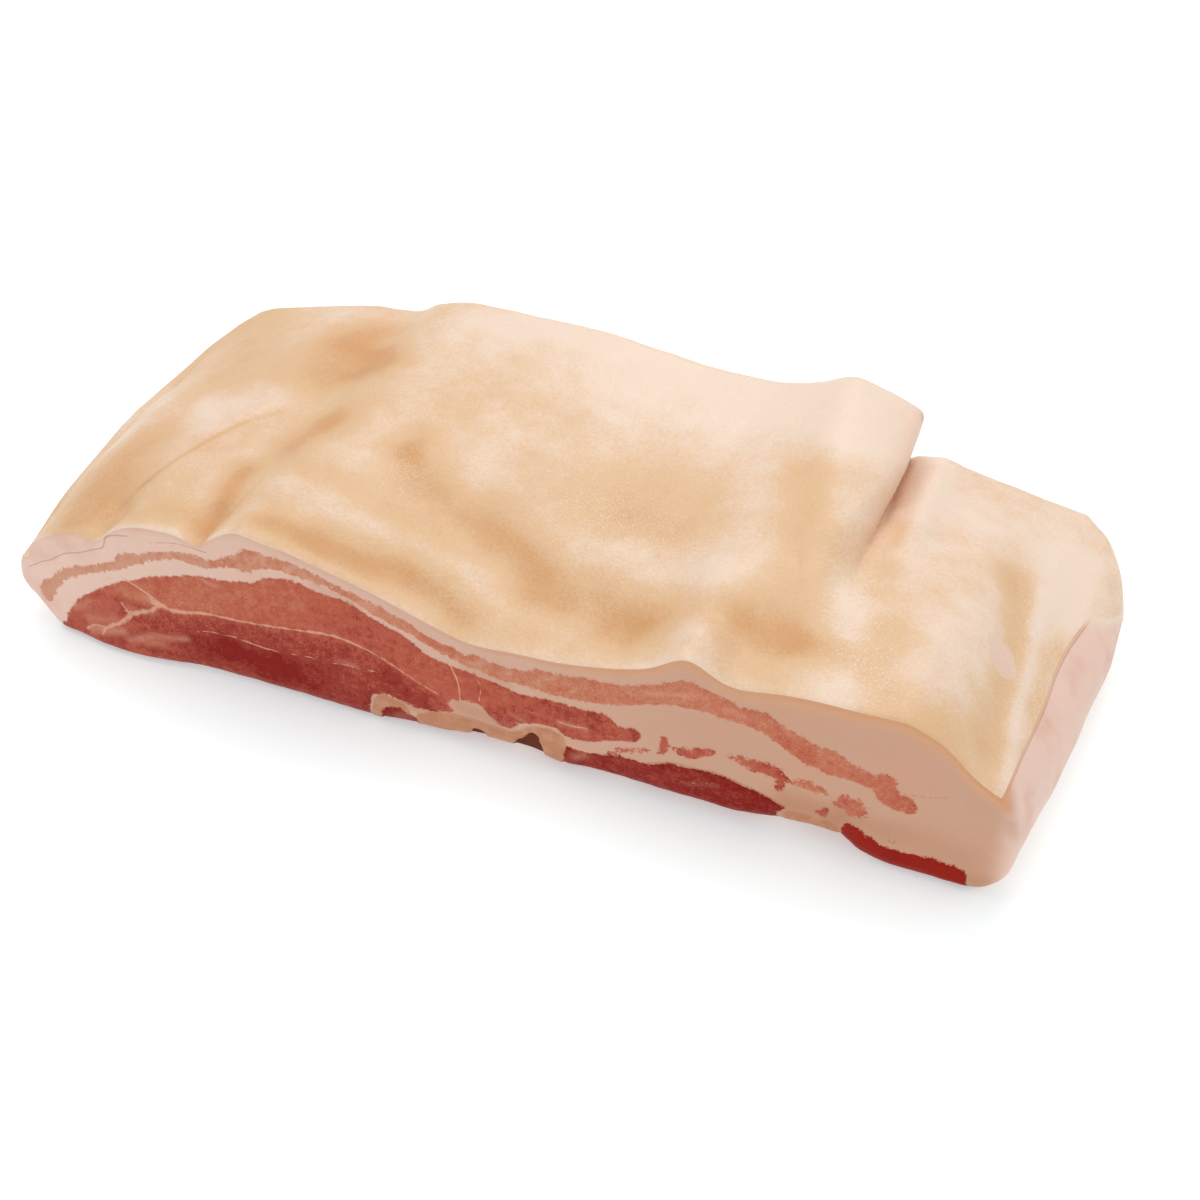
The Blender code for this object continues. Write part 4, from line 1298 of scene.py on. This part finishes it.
def make_stage(settings):
    """A white card in a white room, with three soft lights and the camera."""
    bpy.ops.object.select_all(action="DESELECT")
    bpy.ops.mesh.primitive_grid_add(x_subdivisions=4, y_subdivisions=4, size=CARD_SIZE)
    card = bpy.context.object
    card.name = "studio_card"
    card.location.z = -CARD_DROP
    bpy.ops.object.transform_apply(location=True, rotation=False, scale=False)
    card.data.materials.append(make_card_finish(settings))
    card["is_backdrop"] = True

    add_area_light("softbox_overhead", (-0.20, 0.45, 1.35), (1.2, 1.2), settings.top_power, "FFFBF5")
    add_area_light("softbox_behind", (0.10, 1.15, 1.00), (0.8, 0.4), settings.back_power, "FFFDFA")
    add_area_light("softbox_in_front", (0.35, -1.25, 0.70), (1.2, 0.6), settings.front_power, "FFFBF5")

    scene = bpy.context.scene
    world = scene.world or bpy.data.worlds.new("studio")
    scene.world = world
    world.use_nodes = True
    background = world.node_tree.nodes["Background"]
    background.inputs["Color"].default_value = (1.0, 1.0, 1.0, 1.0)
    background.inputs["Strength"].default_value = settings.room_light
    scene.view_settings.view_transform = "Standard"
    scene.view_settings.look = "None"

    camera = bpy.data.cameras.new("camera")
    camera.lens = LENS_MM
    camera.sensor_width = SENSOR_MM
    camera.clip_start = NEAREST_SEEN
    viewer = bpy.data.objects.new("camera", camera)
    viewer.location = EYE
    viewer.rotation_euler = (AIM - EYE).to_track_quat("-Z", "Y").to_euler()
    scene.collection.objects.link(viewer)
    scene.camera = viewer


# ---------------------------------------------------------------------------
# Add-on
# ---------------------------------------------------------------------------


def colour_property(name, description, hex_colour):
    return bpy.props.FloatVectorProperty(
        name=name, description=description, default=linear(hex_colour), size=4, min=0.0, max=1.0,
        subtype="COLOR",
    )


def relief_property(name, description, millimetres):
    return bpy.props.FloatProperty(
        name=name, description=description, default=millimetres * MM, min=0.0, precision=5,
        subtype="DISTANCE", unit="LENGTH",
    )


def power_property(name, description, watts):
    return bpy.props.FloatProperty(name=name, description=description, default=watts, min=0.0, unit="POWER")


class SlabSettings(bpy.types.PropertyGroup):
    lean_swell: relief_property("Lean swell", "How far cut lean swells out", 0.25)
    seam_depth: relief_property("Seam depth", "How far the lean sinks at its seams", 0.30)
    membrane_height: relief_property("Membrane height", "How far membrane stands out at the foot", 0.60)
    pocket_depth: relief_property("Pocket depth", "How deep the pockets at the foot are", 5.5)
    rind_pale: colour_property("Pale rind", "Scraped rind with no stain", "F4DDCA")
    rind_mid: colour_property("Rind", "Lightly stained rind", "E6BF95")
    rind_tan: colour_property("Tan rind", "Deeply stained rind", "D59F68")
    # Also the painted shade along the fold's crease and the wrinkle near the left step.
    rind_blush_and_crease_shade: colour_property("Pink rind", "Rind where blood shows through", "E6A072")
    rind_scuff: colour_property("Scuffed rind", "Bare spots on the rind", "EACAB7")
    rind_edge: colour_property("Cut rind", "The rind's edge on the cuts", "DFA57B")
    # Painted highlight: the colour of the glints painted on the rind.
    rind_painted_glint: colour_property("Rind flecks", "Fine bright flecks on the rind", "F9E9D8")
    fat_pale: colour_property("Pale fat", "Fat at the left end", "F0CDBE")
    # Also the painted shade of the fat towards the right of the front cut.
    fat_warm_and_shaded: colour_property("Warm fat", "Fat towards the right", "D1A48B")
    fat_brown: colour_property("Brown fat", "Browner fat at the foot", "BC8260")
    fat_pink: colour_property("Pink fat", "Clouds in the fat", "D9A084")
    lean_pale: colour_property("Pale lean", "The palest lean", "D09880")
    lean_pink: colour_property("Pink lean", "Lean of the stripe under the rind", "C57455")
    lean_red: colour_property("Red lean", "Lean above the middle seam", "BC5A46")
    lean_deep: colour_property("Deep lean", "Lean below the middle seam", "9C382C")
    lean_dark: colour_property("Dark lean", "Lean at the foot", "8A1206")
    lean_blood: colour_property("Blood-red lean", "The strip near the right end", "9C1A06")
    marbling: colour_property("Marbling", "Fine fat in the lean", "E2A58A")
    seam: colour_property("Seams", "Tissue between the muscles", "E6AE94")
    membrane: colour_property("Membrane", "Membrane at the foot", "C28462")
    pocket: colour_property("Pockets", "Inside the pockets at the foot", "C67656")
    # Painted shade: the dark line along the foot, where the cut meets the table.
    foot_shade_line: colour_property("Dried foot", "The dried line along the foot", "4A1A10")
    # Also the painted shadow line under the rind's cut edge at the right end.
    vein_and_shade_line: colour_property("Thin lines", "Thin dark lines in the fat", "A8683E")


class StageSettings(bpy.types.PropertyGroup):
    card: colour_property("Card", "The card that the slab lies on", "F0F8FA")
    card_glow: bpy.props.FloatProperty(
        name="Card glow", description="Strength of the light from below the card", default=0.33, min=0.0
    )
    top_power: power_property("Overhead light", "Power of the softbox overhead", 7.5)
    back_power: power_property("Back light", "Power of the softbox behind", 2.5)
    front_power: power_property("Front light", "Power of the softbox in front", 2.0)
    room_light: bpy.props.FloatProperty(
        name="Room light", description="Strength of the white room's light", default=0.62, min=0.0
    )


class PORKBELLY_OT_slab(bpy.types.Operator):
    """Model the slab: its rind, cut sides and lean underside"""

    bl_idname = "pork_belly.slab"
    bl_label = "Pork Belly Slab"

    def execute(self, context):
        slab = make_slab(context.scene.pork_belly)
        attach(slab, BODY)
        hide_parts(NODE)
        return {"FINISHED"}


class PORKBELLY_OT_stage(bpy.types.Operator):
    """Set up the white card, the lights and the camera"""

    bl_idname = "pork_belly.stage"
    bl_label = "Studio"

    def execute(self, context):
        make_stage(context.scene.pork_belly_stage)
        return {"FINISHED"}


class PORKBELLY_PT_panel(bpy.types.Panel):
    bl_label = "Pork Belly"
    bl_idname = "PORKBELLY_PT_panel"
    bl_space_type = "VIEW_3D"
    bl_region_type = "UI"
    bl_category = "Pork Belly"

    def draw(self, context):
        for group, operator in (
            (context.scene.pork_belly, PORKBELLY_OT_slab.bl_idname),
            (context.scene.pork_belly_stage, PORKBELLY_OT_stage.bl_idname),
        ):
            column = self.layout.column()
            for name in group.bl_rna.properties.keys():
                if name not in ("rna_type", "name"):
                    column.prop(group, name)
            column.operator(operator)


CLASSES = (SlabSettings, StageSettings, PORKBELLY_OT_slab, PORKBELLY_OT_stage, PORKBELLY_PT_panel)


def register():
    for cls in CLASSES:
        bpy.utils.register_class(cls)
    bpy.types.Scene.pork_belly = bpy.props.PointerProperty(type=SlabSettings)
    bpy.types.Scene.pork_belly_stage = bpy.props.PointerProperty(type=StageSettings)


def unregister():
    del bpy.types.Scene.pork_belly_stage
    del bpy.types.Scene.pork_belly
    for cls in reversed(CLASSES):
        bpy.utils.unregister_class(cls)


def main():
    register()
    bpy.ops.pork_belly.stage()
    bpy.ops.pork_belly.slab()


if __name__ == "__main__":
    main()
